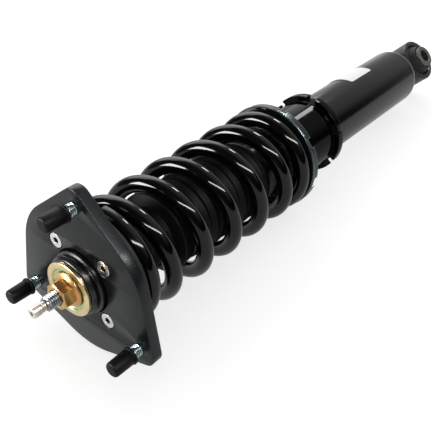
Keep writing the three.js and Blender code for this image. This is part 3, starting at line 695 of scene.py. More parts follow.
def make_finishes():
    """Each material by the record's slot that it dresses."""
    nickel = ((0.72, 0.71, 0.68), (0.86, 0.85, 0.81))
    washer_stops = ((0.1, (0.44, 0.52, 0.24)), (0.25, (0.32, 0.52, 0.28)),
                    (0.45, (0.30, 0.50, 0.42)), (0.58, (0.58, 0.62, 0.28)),
                    (0.72, (0.78, 0.61, 0.33)), (0.9, (0.86, 0.66, 0.50)))
    nut_stops = ((0.15, (0.46, 0.22, 0.08)), (0.4, (0.66, 0.33, 0.15)),
                 (0.6, (0.56, 0.40, 0.15)), (0.85, (0.88, 0.60, 0.44)))
    return {
        "plate_anodised": plate_finish(),
        # The root colours below are painted shade in thread roots and sockets.
        "stud_steel": steel_finish("stud steel", (0.40, 0.50, 0.52), (0.66, 0.76, 0.78),
                                   root=(0.01, 0.03, 0.035)),
        "cap_rubber": rubber_finish("cap rubber", (0.002, 0.0018, 0.002), (0.004, 0.0036, 0.004),
                                    (0.42, 0.56), specular=0.16),
        "screw_nickel": steel_finish("screw nickel", *nickel, rough=(0.16, 0.3),
                                     root=(0.02, 0.02, 0.021), reach=3),
        "housing_anodised": housing_finish(),
        "pad_plastic": rubber_finish("pad plastic", (0.005, 0.005, 0.005), (0.009, 0.009, 0.009)),
        "bush_rubber": rubber_finish("bush rubber", (0.002, 0.002, 0.0025), (0.004, 0.004, 0.005),
                                     (0.22, 0.34), 0.8, 0.5),
        "inner_steel": steel_finish("inner steel", (0.4, 0.41, 0.42), (0.55, 0.56, 0.57)),
        "washer_zinc": zinc_finish("washer zinc", washer_stops, (0.2, 0.34), (11, 17),
                                   (0.55, 0.1, 0.45)),
        "nut_zinc": zinc_finish("nut zinc", nut_stops, (0.2, 0.32), (8, 14), (0.7, 0.45, 0)),
        "rod_steel": steel_finish("rod steel", (0.30, 0.30, 0.30), (0.44, 0.45, 0.45),
                                  root=(0.02, 0.022, 0.024)),
        "adjuster_nickel": steel_finish("adjuster nickel", (0.70, 0.65, 0.57), (0.84, 0.79, 0.71),
                                        (0.3, 0.45), root=(0.12, 0.1, 0.08)),
        "needle_steel": steel_finish("needle steel", (0.5, 0.51, 0.52), (0.6, 0.61, 0.62)),
        "bump_foam": rubber_finish("bump stop foam", (0.006, 0.006, 0.006),
                                   (0.011, 0.011, 0.011), (0.7, 0.9), 0.9, 0.2),
        "boot_rubber": rubber_finish("boot rubber", (0.0015, 0.0015, 0.0015),
                                     (0.003, 0.003, 0.003), (0.45, 0.6), specular=0.13),
        "spring_paint": spring_finish(),
        "seat_anodised": seat_finish(),
        "sleeve_gloss": gloss_finish(),
        "tube_black": tube_finish(),
        "seal_rubber": rubber_finish("seal rubber", (0.01, 0.01, 0.011), (0.016, 0.016, 0.017)),
        "inner_aluminium": steel_finish("inner aluminium", (0.5, 0.51, 0.52), (0.66, 0.67, 0.68)),
        "band_plastic": rubber_finish("band plastic", (0.13, 0.08, 0.05), (0.19, 0.12, 0.07)),
        "eye_black": eye_finish(),
        "eye_rubber": rubber_finish("eye rubber", (0.006, 0.006, 0.007), (0.012, 0.012, 0.013)),
        "eye_steel": steel_finish("eye sleeve steel", (0.11, 0.105, 0.1), (0.17, 0.165, 0.155),
                                  rough=(0.4, 0.55)),
        "label_white": label_finish(),
    }


FINISHES = make_finishes()
SLOT_OF = {row["node"]: row["material_slot"] for row in frame["record"]["subparts"]}


# Mesh helpers


def polar(radius, turn, centre=(0, 0)):
    """A flat point at a radius and a turn in degrees round a centre."""
    angle = math.radians(turn)
    return centre[0] + radius * math.cos(angle), centre[1] + radius * math.sin(angle)


def arc(centre, radius, start, end, steps):
    """Flat points on an arc, from a start to an end angle in degrees."""
    return [polar(radius, start + (end - start) * k / steps, centre) for k in range(steps + 1)]


def circle(radius, centre=(0, 0), steps=SMALL_STEPS):
    return arc(centre, radius, 0, 360, steps)[:-1]


def about(radius, turn):
    """Places a mesh made on the axis out at a radius and turn."""
    return Matrix.Translation((*polar(radius, turn), 0))


def spun(turn):
    """Turns a mesh round the axis."""
    return Matrix.Rotation(math.radians(turn), 4, "Z")


def rounded(corners, steps=FILLET_STEPS):
    """A profile from (radius, along, fillet) corners, with an arc at each corner that has one."""
    points = []
    count = len(corners)
    for k, corner in enumerate(corners):
        here = Vector(corner[:2])
        fillet = corner[2] if len(corner) > 2 else 0
        if fillet == 0:
            points.append(tuple(here))
            continue
        back = (Vector(corners[k - 1][:2]) - here).normalized()
        ahead = (Vector(corners[(k + 1) % count][:2]) - here).normalized()
        half = math.acos(max(-1, min(1, back.dot(ahead)))) / 2
        reach = fillet / math.tan(half)
        centre = here + (back + ahead).normalized() * fillet / math.sin(half)
        start, end = here + back * reach - centre, here + ahead * reach - centre
        sweep = start.angle_signed(end)
        for i in range(steps + 1):
            point = centre + Matrix.Rotation(-sweep * i / steps, 2) @ start
            points.append(tuple(point))
    return points


def mirrored(half):
    """A rounded profile from the corners on its minus side, the same on its plus side."""
    return rounded([*half, *((r, -s, fillet) for r, s, fillet in reversed(half))])


def column(profile, angle):
    """The points of a profile, set at an angle round the axis."""
    return [(r * math.cos(angle), r * math.sin(angle), s) for r, s in profile]


def add_face(mesh, corners):
    """A face from corners, leaving out those that repeat."""
    kept = []
    for vert in corners:
        if vert not in kept:
            kept.append(vert)
    if len(kept) > 2:
        mesh.faces.new(kept)


def sheet_mesh(columns, seam=lambda k: k):
    """A mesh of closed columns of points joined round a full turn; seam says which row of the
    first column each row of the last one meets."""
    mesh = bmesh.new()
    verts = [[mesh.verts.new(p) for p in points] for points in columns]
    rows = len(columns[0])
    for i, here in enumerate(verts):
        beside = verts[(i + 1) % len(verts)]
        meet = seam if i + 1 == len(verts) else (lambda k: k)
        for k in range(rows):
            j = (k + 1) % rows
            add_face(mesh, [here[k], here[j], beside[meet(j)], beside[meet(k)]])
    bmesh.ops.remove_doubles(mesh, verts=mesh.verts, dist=1e-4)
    bmesh.ops.dissolve_degenerate(mesh, edges=mesh.edges, dist=1e-5)
    bmesh.ops.recalc_face_normals(mesh, faces=mesh.faces)
    return mesh


def turned(profile, steps=MEDIUM_STEPS):
    """A closed profile of (radius, along) turned round the axis."""
    return sheet_mesh([column(profile, math.tau * i / steps) for i in range(steps)])


def threaded(before, after, crest, depth, pitch, start, end, steps=SMALL_STEPS):
    """A turned piece whose profile has a real helical thread between its before and after
    points; the thread runs out at both ends on its root."""
    rise = (0, 0.36, 0.52, 0.88)
    radii = (crest - depth, crest, crest, crest - depth)
    rows = 4 * (math.ceil((end - start) / pitch) + 2)
    columns = []
    for i in range(steps):
        profile = list(before)
        for j in range(rows):
            s = start + pitch * (j // 4 + rise[j % 4] + i / steps - 1)
            r = radii[j % 4] if start < s < end else crest - depth
            profile.append((r, min(max(s, start), end)))
        profile += after
        columns.append(column(profile, math.tau * i / steps))
    first, last = len(before), len(before) + rows - 1

    def seam(k):
        return min(k + 4, last) if first <= k <= last else k

    return sheet_mesh(columns, seam)


def make_object(name, mesh):
    """An object of a bmesh, which is freed."""
    data = bpy.data.meshes.new(name)
    mesh.to_mesh(data)
    mesh.free()
    made = bpy.data.objects.new(name, data)
    bpy.context.scene.collection.objects.link(made)
    return made


def turned_object(name, profile, steps=MEDIUM_STEPS, place=None):
    """An object turned round the axis, then put in its place."""
    mesh = turned(profile, steps)
    if place:
        mesh.transform(place)
    return make_object(name, mesh)


def apply_modifiers(target):
    """Replaces an object's mesh by what its modifiers make of it."""
    graph = bpy.context.evaluated_depsgraph_get()
    data = bpy.data.meshes.new_from_object(target.evaluated_get(graph))
    target.modifiers.clear()
    target.data = data


def combine(base, tools, operation):
    """Cuts, joins or meets an object with others, which are then deleted."""
    for tool in tools:
        modifier = base.modifiers.new("combine", "BOOLEAN")
        modifier.operation = operation
        modifier.solver = "EXACT"
        modifier.object = tool
    apply_modifiers(base)
    for tool in tools:
        data = tool.data
        bpy.data.objects.remove(tool)
        bpy.data.meshes.remove(data)


def soften_edges(target, width):
    """Bevels an object's sharp edges."""
    modifier = target.modifiers.new("edges", "BEVEL")
    modifier.width = width
    modifier.segments = 2
    modifier.limit_method = "ANGLE"
    modifier.angle_limit = math.radians(35)
    modifier.harden_normals = False
    apply_modifiers(target)


def dress(target, slot):
    """Gives an object the material of one of the record's slots."""
    target.data.materials.clear()
    target.data.materials.append(FINISHES[slot])


def finish_piece(target, nodes, body, slot=None):
    """Brings a piece from strut millimetres into the frame, smooths it between sharp edges, gives
    it its material and its body, and hides the nodes it stands for. A piece given no body is
    left without one."""
    target.data.transform(LAY)
    target.data.shade_smooth()
    target.data.set_sharp_from_angle(angle=SHARP_EDGE)
    dress(target, slot or SLOT_OF[nodes[0]])
    if nodes:
        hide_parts(*nodes)
    if body:
        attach(target, body)


def hexagon(name, across, low, high):
    radius = across / math.sqrt(3)
    return turned_object(name, [(0, low), (radius, low), (radius, high), (0, high)], 6)


def block(name, sides, centre, turn):
    """A block whose first side points outwards at a turn round the axis."""
    mesh = bmesh.new()
    bmesh.ops.create_cube(mesh, size=1)
    mesh.transform(spun(turn) @ Matrix.Translation(centre) @ Matrix.Diagonal((*sides, 1)))
    return make_object(name, mesh)


def notches(count, first_turn, rim, size, middle):
    """Cutters for notches in a rim; size is width, depth and length along the axis."""
    width, depth, length = size
    over = 1
    return [
        block("notch", (depth + over, width, length), (rim - (depth - over) / 2, 0, middle),
              first_turn + 360 * k / count)
        for k in range(count)]


def drills(count, first_turn, circle_r, radius, low, high, steps=24):
    """Cutters for holes along the axis, evenly spaced on a circle round it."""
    profile = [(0, low), (radius, low), (radius, high), (0, high)]
    return [
        turned_object("drill", profile, steps, about(circle_r, first_turn + 360 * k / count))
        for k in range(count)]


# Top plate

def plate_outline():
    half = math.degrees(math.acos((PLATE_R - LOBE_R) / LOBE_CENTRE_R))
    step = 360 / len(LOBE_TURNS)
    points = []
    for turn in LOBE_TURNS:
        points += arc(polar(LOBE_CENTRE_R, turn), LOBE_R, turn - half, turn + half, 20)
        points += arc((0, 0), PLATE_R, turn + half, turn + step - half, 28)
    return points


def flat_plate(name, outlines, thickness, edge):
    """A plate with rounded edges, from its outline and the outlines of its holes."""
    curve = bpy.data.curves.new(name, "CURVE")
    curve.dimensions = "2D"
    curve.fill_mode = "BOTH"
    curve.extrude = thickness / 2 - edge
    curve.bevel_depth = edge
    curve.bevel_resolution = 2
    curve.offset = -edge
    for outline in outlines:
        spline = curve.splines.new("POLY")
        spline.points.add(len(outline) - 1)
        for point, (x, y) in zip(spline.points, outline):
            point.co = (x, y, 0, 1)
        spline.use_cyclic_u = True
    shaped = bpy.data.objects.new(name, curve)
    bpy.context.scene.collection.objects.link(shaped)
    data = bpy.data.meshes.new_from_object(shaped)
    bpy.data.objects.remove(shaped)
    bpy.data.curves.remove(curve)
    mesh = bmesh.new()
    mesh.from_mesh(data)
    bpy.data.meshes.remove(data)
    bmesh.ops.remove_doubles(mesh, verts=mesh.verts, dist=1e-3)
    bmesh.ops.recalc_face_normals(mesh, faces=mesh.faces)
    mesh.transform(Matrix.Translation((0, 0, thickness / 2)))
    return make_object(name, mesh)


def make_top_plate():
    holes = [circle(PLATE_HOLE_R, steps=MEDIUM_STEPS)]
    holes += [circle(STUD_HOLE_R, polar(STUD_CIRCLE_R, turn)) for turn in LOBE_TURNS]
    holes += [circle(SCREW_HOLE_R, polar(SCREW_CIRCLE_R, turn)) for turn in SCREW_TURNS]
    plate = flat_plate("top_plate_body", [plate_outline(), *holes], PLATE_T, PLATE_EDGE)
    finish_piece(plate, ["top_plate"], ROD_BODY)


def make_studs():
    before = [(0, -STUD_OUT), (STUD_TIP_R, -STUD_OUT)]
    after = rounded([
        (STUD_R, STUD_PLAIN), (STUD_R, STUD_HEAD[0]), (STUD_HEAD_R, STUD_HEAD[0], 0.3),
        (STUD_HEAD_R, STUD_HEAD[1], 0.5), (0, STUD_HEAD[1])])
    for k, turn in enumerate(LOBE_TURNS):
        mesh = threaded(before, after, STUD_R, STUD_THREAD, STUD_PITCH, *STUD_THREADED)
        mesh.transform(about(STUD_CIRCLE_R, turn))
        made = make_object(f"threaded_stud_{k + 1}", mesh)
        finish_piece(made, [f"mount_stud_{k + 1}"], ROD_BODY)


def make_caps():
    """Caps with a domed end, a slight draught, a groove and a rolled lip."""
    groove_r = CAP_R - CAP_GROOVE
    profile = rounded([
        (0, CAP_TIP), (CAP_R - 0.25, CAP_TIP, 1.9), (CAP_R, CAP_LIP - 1.1),
        (groove_r, CAP_LIP - 0.5, 0.2), (groove_r, CAP_LIP, 0.2), (CAP_LIP_R, CAP_LIP, 0.5),
        (CAP_LIP_R, CAP_MOUTH, 0.5), (CAP_BORE_R, CAP_MOUTH, 0.3), (CAP_BORE_R, CAP_FLOOR),
        (0, CAP_FLOOR)])
    for k, turn in enumerate(LOBE_TURNS):
        made = turned_object(f"soft_cap_{k + 1}", profile, SMALL_STEPS,
                             about(STUD_CIRCLE_R, turn))
        finish_piece(made, [f"stud_cap_{k + 1}"], ROD_BODY)


def make_screws():
    """Countersunk screws with a hexagon socket and a coned mouth to it."""
    shoulder = SCREW_HEAD_R - SCREW_R + SCREW_RIM
    profile = rounded([
        (0, SCREW_FACE), (SCREW_HEAD_R, SCREW_FACE, 0.15), (SCREW_HEAD_R, SCREW_FACE + SCREW_RIM),
        (SCREW_R, shoulder), (SCREW_R, SCREW_END, 0.5), (0, SCREW_END)])
    (outer, above), (inner, below) = SOCKET_MOUTH
    cone = [(0, above), (outer, above), (inner, below), (0, below)]
    for k, (turn, twist) in enumerate(zip(SCREW_TURNS, SCREW_TWISTS)):
        screw = turned_object(f"countersunk_screw_{k + 1}", profile, SMALL_STEPS)
        socket = hexagon("socket", SOCKET_ACROSS, -1, SOCKET_DEPTH)
        mouth = turned_object("mouth", cone, SMALL_STEPS)
        combine(screw, [socket, mouth], "DIFFERENCE")
        screw.data.transform(about(SCREW_CIRCLE_R, turn) @ spun(twist))
        finish_piece(screw, [f"plate_screw_{k + 1}"], ROD_BODY)


# Mount

def make_housing():
    profile = rounded([
        (HOUSING_BORE_R, HOUSING_FACE), (HOUSING_R, HOUSING_FACE, 0.6),
        (HOUSING_R, HOUSING_SHOULDER, 0.6), (SPIGOT_R, HOUSING_SHOULDER, 0.5),
        (SPIGOT_R, HOUSING_END, 1.4), (HOUSING_BACK_R, HOUSING_END, 0.5),
        (HOUSING_BACK_R, HOUSING_FLOOR), (HOUSING_BORE_R, HOUSING_FLOOR)])
    housing = turned_object("bush_cup", profile, LARGE_STEPS)
    taps = drills(len(SCREW_TURNS), SCREW_TURNS[0], SCREW_CIRCLE_R, SCREW_TAP_R, *SCREW_TAP)
    combine(housing, taps, "DIFFERENCE")
    finish_piece(housing, ["bush_housing"], ROD_BODY)


def make_pad():
    profile = rounded([
        (PAD_R[0], PAD_FACE[0], 0.3), (PAD_R[1], PAD_FACE[0], 0.8), (PAD_R[1], PAD_FACE[1], 0.8),
        (PAD_R[0], PAD_FACE[1], 0.3)])
    pad = turned_object("spring_isolator", profile, LARGE_STEPS)
    finish_piece(pad, ["upper_spring_pad"], ROD_BODY)


def make_bush():
    """Rubber bush: a collar with a rounded shoulder, a waist and a moulded bead at its foot."""
    profile = rounded([
        (BUSH_BORE_R, BUSH_TOP), (BUSH_COLLAR_R, BUSH_TOP, 1.3), (*BUSH_SHOULDER, 1.6),
        (*BUSH_WAIST, 0.7), (BUSH_R, BUSH_BEAD[0], 0.5), (BUSH_R, BUSH_BEAD[1], 0.4),
        (BUSH_FOOT_R, BUSH_FOOT[0]), (BUSH_FOOT_R, BUSH_FOOT[1]), (BUSH_BORE_R, BUSH_FOOT[1])], 6)
    bush = turned_object("rubber_bush", profile, LARGE_STEPS)
    finish_piece(bush, ["mount_bush"], ROD_BODY)


def make_washer():
    profile = rounded([
        (WASHER_BORE_R, WASHER_RECESS, 0.2), (WASHER_RECESS_R, WASHER_RECESS, 0.5),
        (WASHER_RECESS_R + WASHER_SLOPE, WASHER_RIM, 0.5), (WASHER_R, WASHER_RIM, 0.6),
        (WASHER_R, WASHER_FACE, 0.4), (WASHER_BORE_R, WASHER_FACE)])
    washer = turned_object("recessed_washer", profile, LARGE_STEPS)
    finish_piece(washer, ["top_washer"], ROD_BODY)


def make_nut():
    """Flanged nut: hexagon with its corners turned off at the top, on a coned flange."""
    corner = NUT_ACROSS / math.sqrt(3)
    inset, over = 2.1, 0.2
    nut = hexagon("flanged_nut", NUT_ACROSS, NUT_TOP - 1, NUT_FACE - 1)
    nut.data.transform(spun(NUT_TURN))
    soften_edges(nut, NUT_EDGE)
    crown = turned_object("crown", rounded([
        (0, NUT_TOP), (corner - inset, NUT_TOP, 0.2),
        (corner + over, NUT_TOP + (inset + over) * NUT_CROWN_SLOPE),
        (corner + over, NUT_FACE - 1), (0, NUT_FACE - 1)]))
    combine(nut, [crown], "INTERSECT")
    flange = turned_object("flange", rounded([
        (0, NUT_FACE), (NUT_FLANGE_R, NUT_FACE, 0.3),
        (NUT_FLANGE_R, NUT_FACE - NUT_FLANGE_LIP, 0.5),
        (corner + 0.1, NUT_FACE - NUT_FLANGE_T, 0.6), (0, NUT_FACE - NUT_FLANGE_T)]))
    combine(nut, [flange], "UNION")
    mouth_r = NUT_BORE_R + NUT_MOUTH
    bore = turned_object("bore", [
        (0, NUT_TOP - 1), (mouth_r, NUT_TOP - 1), (NUT_BORE_R, NUT_TOP + 0.7),
        (NUT_BORE_R, NUT_FACE + 1), (0, NUT_FACE + 1)], SMALL_STEPS)
    combine(nut, [bore], "DIFFERENCE")
    finish_piece(nut, ["rod_nut"], ROD_BODY)


def make_rod():
    """Rod with a threaded nose, bored for the needle."""
    before = [(ROD_BORE_R, ROD_BORE_END), (ROD_BORE_R, -NOSE_OUT + 0.4),
              (ROD_BORE_R + 0.4, -NOSE_OUT), (NOSE_TIP_R, -NOSE_OUT)]
    after = rounded([
        (NOSE_R, NOSE_PLAIN), (NOSE_R, ROD_SHOULDER), (ROD_R, ROD_SHOULDER, 0.5),
        (ROD_R, ROD_PIN, 0.8), (ROD_PIN_R, ROD_PIN), (ROD_PIN_R, ROD_PIN_END), (0, ROD_PIN_END),
        (0, ROD_BORE_END)])
    mesh = threaded(before, after, NOSE_R, NOSE_THREAD, NOSE_PITCH, *NOSE_THREADED)
    finish_piece(make_object("ground_rod", mesh), ["piston_rod"], ROD_BODY)


def make_dial():
    """Damping dial: a fluted barrel with a neck under it and a hexagon socket in its tip."""
    neck_r = DIAL_R - DIAL_NECK
    profile = rounded([
        (0, DIAL_TIP), (DIAL_R, DIAL_TIP, 0.7), (DIAL_R, DIAL_BASE - 1.6, 0.3),
        (neck_r, DIAL_BASE - 1.1, 0.2), (neck_r, DIAL_BASE - 0.6, 0.2),
        (DIAL_R, DIAL_BASE - 0.3, 0.2), (DIAL_R - 0.2, DIAL_BASE + 0.3, 0.2),
        (DIAL_SPIGOT_R, DIAL_BASE + 0.5), (DIAL_SPIGOT_R, DIAL_SPIGOT_END),
        (DIAL_BORE_R, DIAL_SPIGOT_END), (DIAL_BORE_R, DIAL_FLOOR), (0, DIAL_FLOOR)])
    dial = turned_object("damping_dial_knob", profile)
    across, deep = DIAL_SOCKET
    socket = hexagon("socket", across, DIAL_TIP - 1, DIAL_TIP + deep)
    flutes = drills(DIAL_FLUTES, 0, DIAL_R + 0.08, DIAL_FLUTE_R, *DIAL_FLUTE, steps=6)
    combine(dial, [socket, *flutes], "DIFFERENCE")
    finish_piece(dial, ["damping_adjuster"], DIAL_BODY)


def make_bump_stop():
    """Soft stop with three bulges, narrowing where the boot grips it."""
    profile = [(BUMP_BORE_R, ROD_SHOULDER)]
    for k in range(BUMP_ROWS + 1):
        wave = 0.5 + 0.5 * math.cos(math.tau * BUMP_BULGES * k / BUMP_ROWS)
        s = ROD_SHOULDER + (BUMP_GRIP - ROD_SHOULDER) * k / BUMP_ROWS
        profile.append((BUMP_R - BUMP_GROOVE * wave ** 1.5, s))
    profile += [*BUMP_NECK, (BUMP_BORE_R, BUMP_NECK[-1][1])]
    stop = turned_object("foam_stop", profile)
    finish_piece(stop, ["bump_stop"], ROD_BODY)


# Pieces that change length

def share_blend(target):
    """Bakes a piece's transform into its mesh; it does not bend the piece between bodies."""
    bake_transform(target)


def boot_profile():
    """Boot: collar on the bump stop, shoulder, soft ribs that grow to full height, open cuff."""
    outer = rounded([
        (BOOT_GRIP_R, BOOT_TOP), (BOOT_COLLAR_R, BOOT_TOP, 0.6),
        (BOOT_COLLAR_R, BOOT_COLLAR_END, 1.2), (BOOT_CREST_R, BOOT_SHOULDER[0], 0.8),
        (BOOT_CREST_R, BOOT_SHOULDER[1], 0.8), (BOOT_VALLEY_R, BOOT_STEP[0], 0.6),
        (BOOT_VALLEY_R, BOOT_STEP[1])])
    pitch = (BOOT_RIBS_TO - BOOT_RIBS_FROM) / BOOT_RIBS
    for k in range(BOOT_RIBS):
        height = (BOOT_CREST_R - BOOT_VALLEY_R) * min(1, 0.5 + 0.16 * k)
        for j in range(BOOT_RIB_ROWS):
            share = j / BOOT_RIB_ROWS
            bulge = (0.5 - 0.5 * math.cos(math.tau * share)) ** 0.8
            outer.append((BOOT_VALLEY_R + height * bulge, BOOT_RIBS_FROM + (k + share) * pitch))
    cuff_r = BOOT_VALLEY_R + BOOT_CUFF_T
    return outer + rounded([
        (BOOT_VALLEY_R, BOOT_RIBS_TO), (cuff_r, BOOT_CUFF_FROM, 0.3), (cuff_r, BOOT_END, 0.4),
        (BOOT_BORE_R, BOOT_END, 0.2), (BOOT_BORE_R, BOOT_INSIDE[0]),
        (BOOT_GRIP_R, BOOT_INSIDE[1])])


def make_boot():
    boot = turned_object("ribbed_boot", boot_profile())
    finish_piece(boot, ["dust_boot"], None)
    share_blend(boot)


def soft_corner(turns):
    """Nothing before a corner and its argument after it, with the corner rounded."""
    if abs(turns) < COIL_SOFT:
        return (turns + COIL_SOFT) ** 2 / (4 * COIL_SOFT)
    return max(0, turns)


def wire_height(turns):
    """Where the centre of the spring's wire is at a turn count."""
    closed = CLOSED_PITCH * (COIL_END - COIL_CLOSE)
    pitch = (COIL_TIP - COIL_FIRST - closed) / (COIL_CLOSE - COIL_RISE)
    rise = pitch * soft_corner(turns - COIL_RISE)
    return COIL_FIRST + rise - (pitch - CLOSED_PITCH) * soft_corner(turns - COIL_CLOSE)


def wire_section(turns):
    """One section of the wire, square to it, ground off at the two end planes."""
    step = 0.001
    angle = math.tau * turns
    out = Vector((math.cos(angle), math.sin(angle), 0))
    slope = (wire_height(turns + step) - wire_height(turns - step)) / (2 * step)
    run = Vector((-math.sin(angle), math.cos(angle), slope / (math.tau * SPRING_R))).normalized()
    up = run.cross(out) * -1
    centre = out * SPRING_R + Vector((0, 0, wire_height(turns)))
    points = []
    for k in range(WIRE_STEPS):
        side = math.tau * k / WIRE_STEPS
        point = centre + WIRE_R * (math.cos(side) * out + math.sin(side) * up)
        point.z = min(max(point.z, SPRING_TOP), SPRING_END)
        points.append(point)
    return points


def wire_mesh(start, end):
    """A stretch of the wire, closed at a true end of it and open where it is split, with the
    turn count of each point."""
    steps = math.ceil((end - start) * CURL_STEPS)
    mesh = bmesh.new()
    rings, turns = [], []
    for k in range(steps + 1):
        at = start + (end - start) * k / steps
        rings.append([mesh.verts.new(p) for p in wire_section(at)])
        turns += [at] * WIRE_STEPS
    for one, other in zip(rings, rings[1:]):
        for k in range(WIRE_STEPS):
            j = (k + 1) % WIRE_STEPS
            mesh.faces.new((one[k], one[j], other[j], other[k]))
    for at, ring in ((start, rings[0]), (end, rings[-1])):
        if at != COIL_SPLIT:
            mesh.faces.new(ring)
    bmesh.ops.recalc_face_normals(mesh, faces=mesh.faces)
    return mesh, turns


def make_spring():
    """The spring in two stretches that meet where the wire is split. The turn count given third
    and the body given last are not used; both stretches are left without a body."""
    for name, tip, seated, body in (
            ("spring_upper_turns", COIL_START, COIL_START + 1, SLIDER_BODY),
            ("spring_lower_turns", COIL_END, COIL_SHUT, SEAT_BODY)):
        mesh, turns = wire_mesh(*sorted((tip, COIL_SPLIT)))
        stretch = make_object(name, mesh)
        finish_piece(stretch, ["coil_spring"], None)
        share_blend(stretch)


# Spring seat and sleeve

def make_seat_ring():
    edge = 0.7
    profile = rounded([
        (SEAT_BORE_R, SEAT_NOSE), (SPIGOT_R, SEAT_NOSE, 0.5), (SPIGOT_R, SEAT_FACE, 0.4),
        (SEAT_R - edge, SEAT_FACE), (SEAT_R, SEAT_FACE + edge), (SEAT_R, SEAT_BACK, 0.3),
        (SEAT_BORE_R, SEAT_BACK)])
    ring = turned_object("notched_seat", profile, LARGE_STEPS)
    cutters = notches(SEAT_NOTCHES, SEAT_NOTCH_TURN, SEAT_R, SEAT_NOTCH, SEAT_NOTCH_MIDDLE)
    combine(ring, cutters, "DIFFERENCE")
    finish_piece(ring, ["spring_seat_ring"], SEAT_BODY)


def make_sleeve():
    edge = 0.6
    profile = rounded([
        (SLEEVE_BORE_R, SEAT_NOSE), (SLEEVE_NOSE_R, SEAT_NOSE), (SLEEVE_NOSE_R, SLEEVE_FRONT),
        (SLEEVE_R, SLEEVE_FRONT, 0.4), (SLEEVE_R, GRIP_FACE, 0.6), (GRIP_R, GRIP_FACE, 0.5),
        (GRIP_R, GRIP_BACK, 0.5), (HUB_R, GRIP_BACK, 0.4), (HUB_R, HUB_END - edge),
        (HUB_R - edge, HUB_END), (SLEEVE_BORE_R, HUB_END)])
    sleeve = turned_object("height_sleeve", profile, LARGE_STEPS)
    cutters = notches(GRIP_NOTCHES, GRIP_NOTCH_TURN, GRIP_R, GRIP_NOTCH,
                      (GRIP_FACE + GRIP_BACK) / 2)
    combine(sleeve, cutters, "DIFFERENCE")
    finish_piece(sleeve, ["adjuster_sleeve"], SLEEVE_BODY)


# Damper tube and what is fixed to it

def make_tube():
    """Tube with a real thread on its upper half and a rounded closed end."""
    edge = 0.5
    root = THREAD_R - THREAD_DEPTH
    before = [(TUBE_BORE_R, TUBE_BORE_END), (TUBE_BORE_R, TUBE_TOP + edge),
              (TUBE_BORE_R + edge, TUBE_TOP), (root, TUBE_TOP)]
    after = rounded([
        (root, TUBE_STEP - 1), (TUBE_R, TUBE_STEP, 0.3), (TUBE_R, TUBE_END, TUBE_ROUND),
        (0, TUBE_END), (0, TUBE_FLOOR), (TUBE_CONE_R, TUBE_FLOOR)], 14)
    mesh = threaded(before, after, THREAD_R, THREAD_DEPTH, THREAD_PITCH, *THREADED,
                    steps=MEDIUM_STEPS)
    finish_piece(make_object("damper_tube_body", mesh), ["damper_tube"], TUBE_BODY)


def make_gland():
    low, high = GLAND
    inner, outer = GLAND_SKIRT_R
    profile = rounded([
        (GLAND_BORE_R, low, 0.4), (GLAND_R, low, 1.0), (GLAND_R, high, 0.2), (outer, high),
        (outer, GLAND_SKIRT_END), (inner, GLAND_SKIRT_END), (inner, high - 0.3),
        (GLAND_BORE_R, high - 0.3)])
    gland = turned_object("gland_cap", profile, LARGE_STEPS)
    pin_holes = drills(GLAND_PINS, 0, GLAND_PIN_CIRCLE_R, GLAND_PIN_R, low - 1,
                       low + GLAND_PIN_DEPTH)
    combine(gland, pin_holes, "DIFFERENCE")
    finish_piece(gland, ["gland_nut"], TUBE_BODY)


# Brings a piece made on the strut's axis to the eye's axis, at the eye
ACROSS_EYE = (Matrix.Translation((0, 0, EYE_ALONG)) @ spun(EYE_TURN)
              @ Matrix.Rotation(math.pi / 2, 4, "Y"))


def make_eye():
    """Forged eye: barrel and flared neck grown together, then bored and faced."""
    eye = turned_object("forged_eye", mirrored([(0, -EYE_HALF, 0), (EYE_R, -EYE_HALF, 1.2)]),
                        place=ACROSS_EYE)
    neck = turned_object("neck", rounded([
        (0, EYE_NECK_FROM), (EYE_NECK_R, EYE_NECK_FROM, 0.5),
        (EYE_NECK_R - 0.3, EYE_NECK_WAIST, 3), (EYE_NECK_R - 0.8, EYE_ALONG), (0, EYE_ALONG)]))
    combine(eye, [neck], "UNION")
    remesh = eye.modifiers.new("grown", "REMESH")
    remesh.mode = "VOXEL"
    remesh.voxel_size = EYE_VOXEL
    smooth = eye.modifiers.new("soften", "SMOOTH")
    smooth.factor = 0.5
    smooth.iterations = EYE_SOFTENING
    apply_modifiers(eye)
    beyond = EYE_HALF + 8
    mouth_r = EYE_BORE_R + EYE_MOUTH
    bore = turned_object("bore", mirrored([
        (0, -beyond, 0), (mouth_r, -beyond, 0), (mouth_r, -EYE_HALF, 0),
        (EYE_BORE_R, EYE_MOUTH - EYE_HALF, 0)]), place=ACROSS_EYE)
    combine(eye, [bore], "DIFFERENCE")
    finish_piece(eye, ["lower_eye"], TUBE_BODY)


def make_weld():
    """Weld bead between the tube's end and the neck: overlapping ripples round the joint."""
    columns = []
    for i in range(WELD_STEPS):
        angle = math.tau * i / WELD_STEPS
        ripple = sum(height * math.sin(count * angle + phase)
                     for height, count, phase in WELD_RIPPLES)
        section = []
        for k in range(WELD_SIDES):
            side = math.tau * k / WELD_SIDES
            section.append((
                EYE_NECK_R + WELD_OUT[0] + (WELD_HALF[0] + ripple) * math.cos(side),
                EYE_NECK_FROM + WELD_OUT[1] + (WELD_HALF[1] + ripple) * math.sin(side)))
        columns.append(column(section, angle))
    weld = make_object("weld_bead", sheet_mesh(columns))
    finish_piece(weld, [], TUBE_BODY, slot="eye_black")


def make_eye_bush():
    profile = mirrored([
        (RING_BORE_R, -BUSH_HALF, 0.3), (RING_TIP_R, -BUSH_HALF, 0.7), (*RING_MOUTH, 2.5),
        (RING_R, -RING_HALF, 0.6)])
    bush = turned_object("eye_rubber_ring", profile, place=ACROSS_EYE)
    finish_piece(bush, ["eye_bush"], TUBE_BODY)


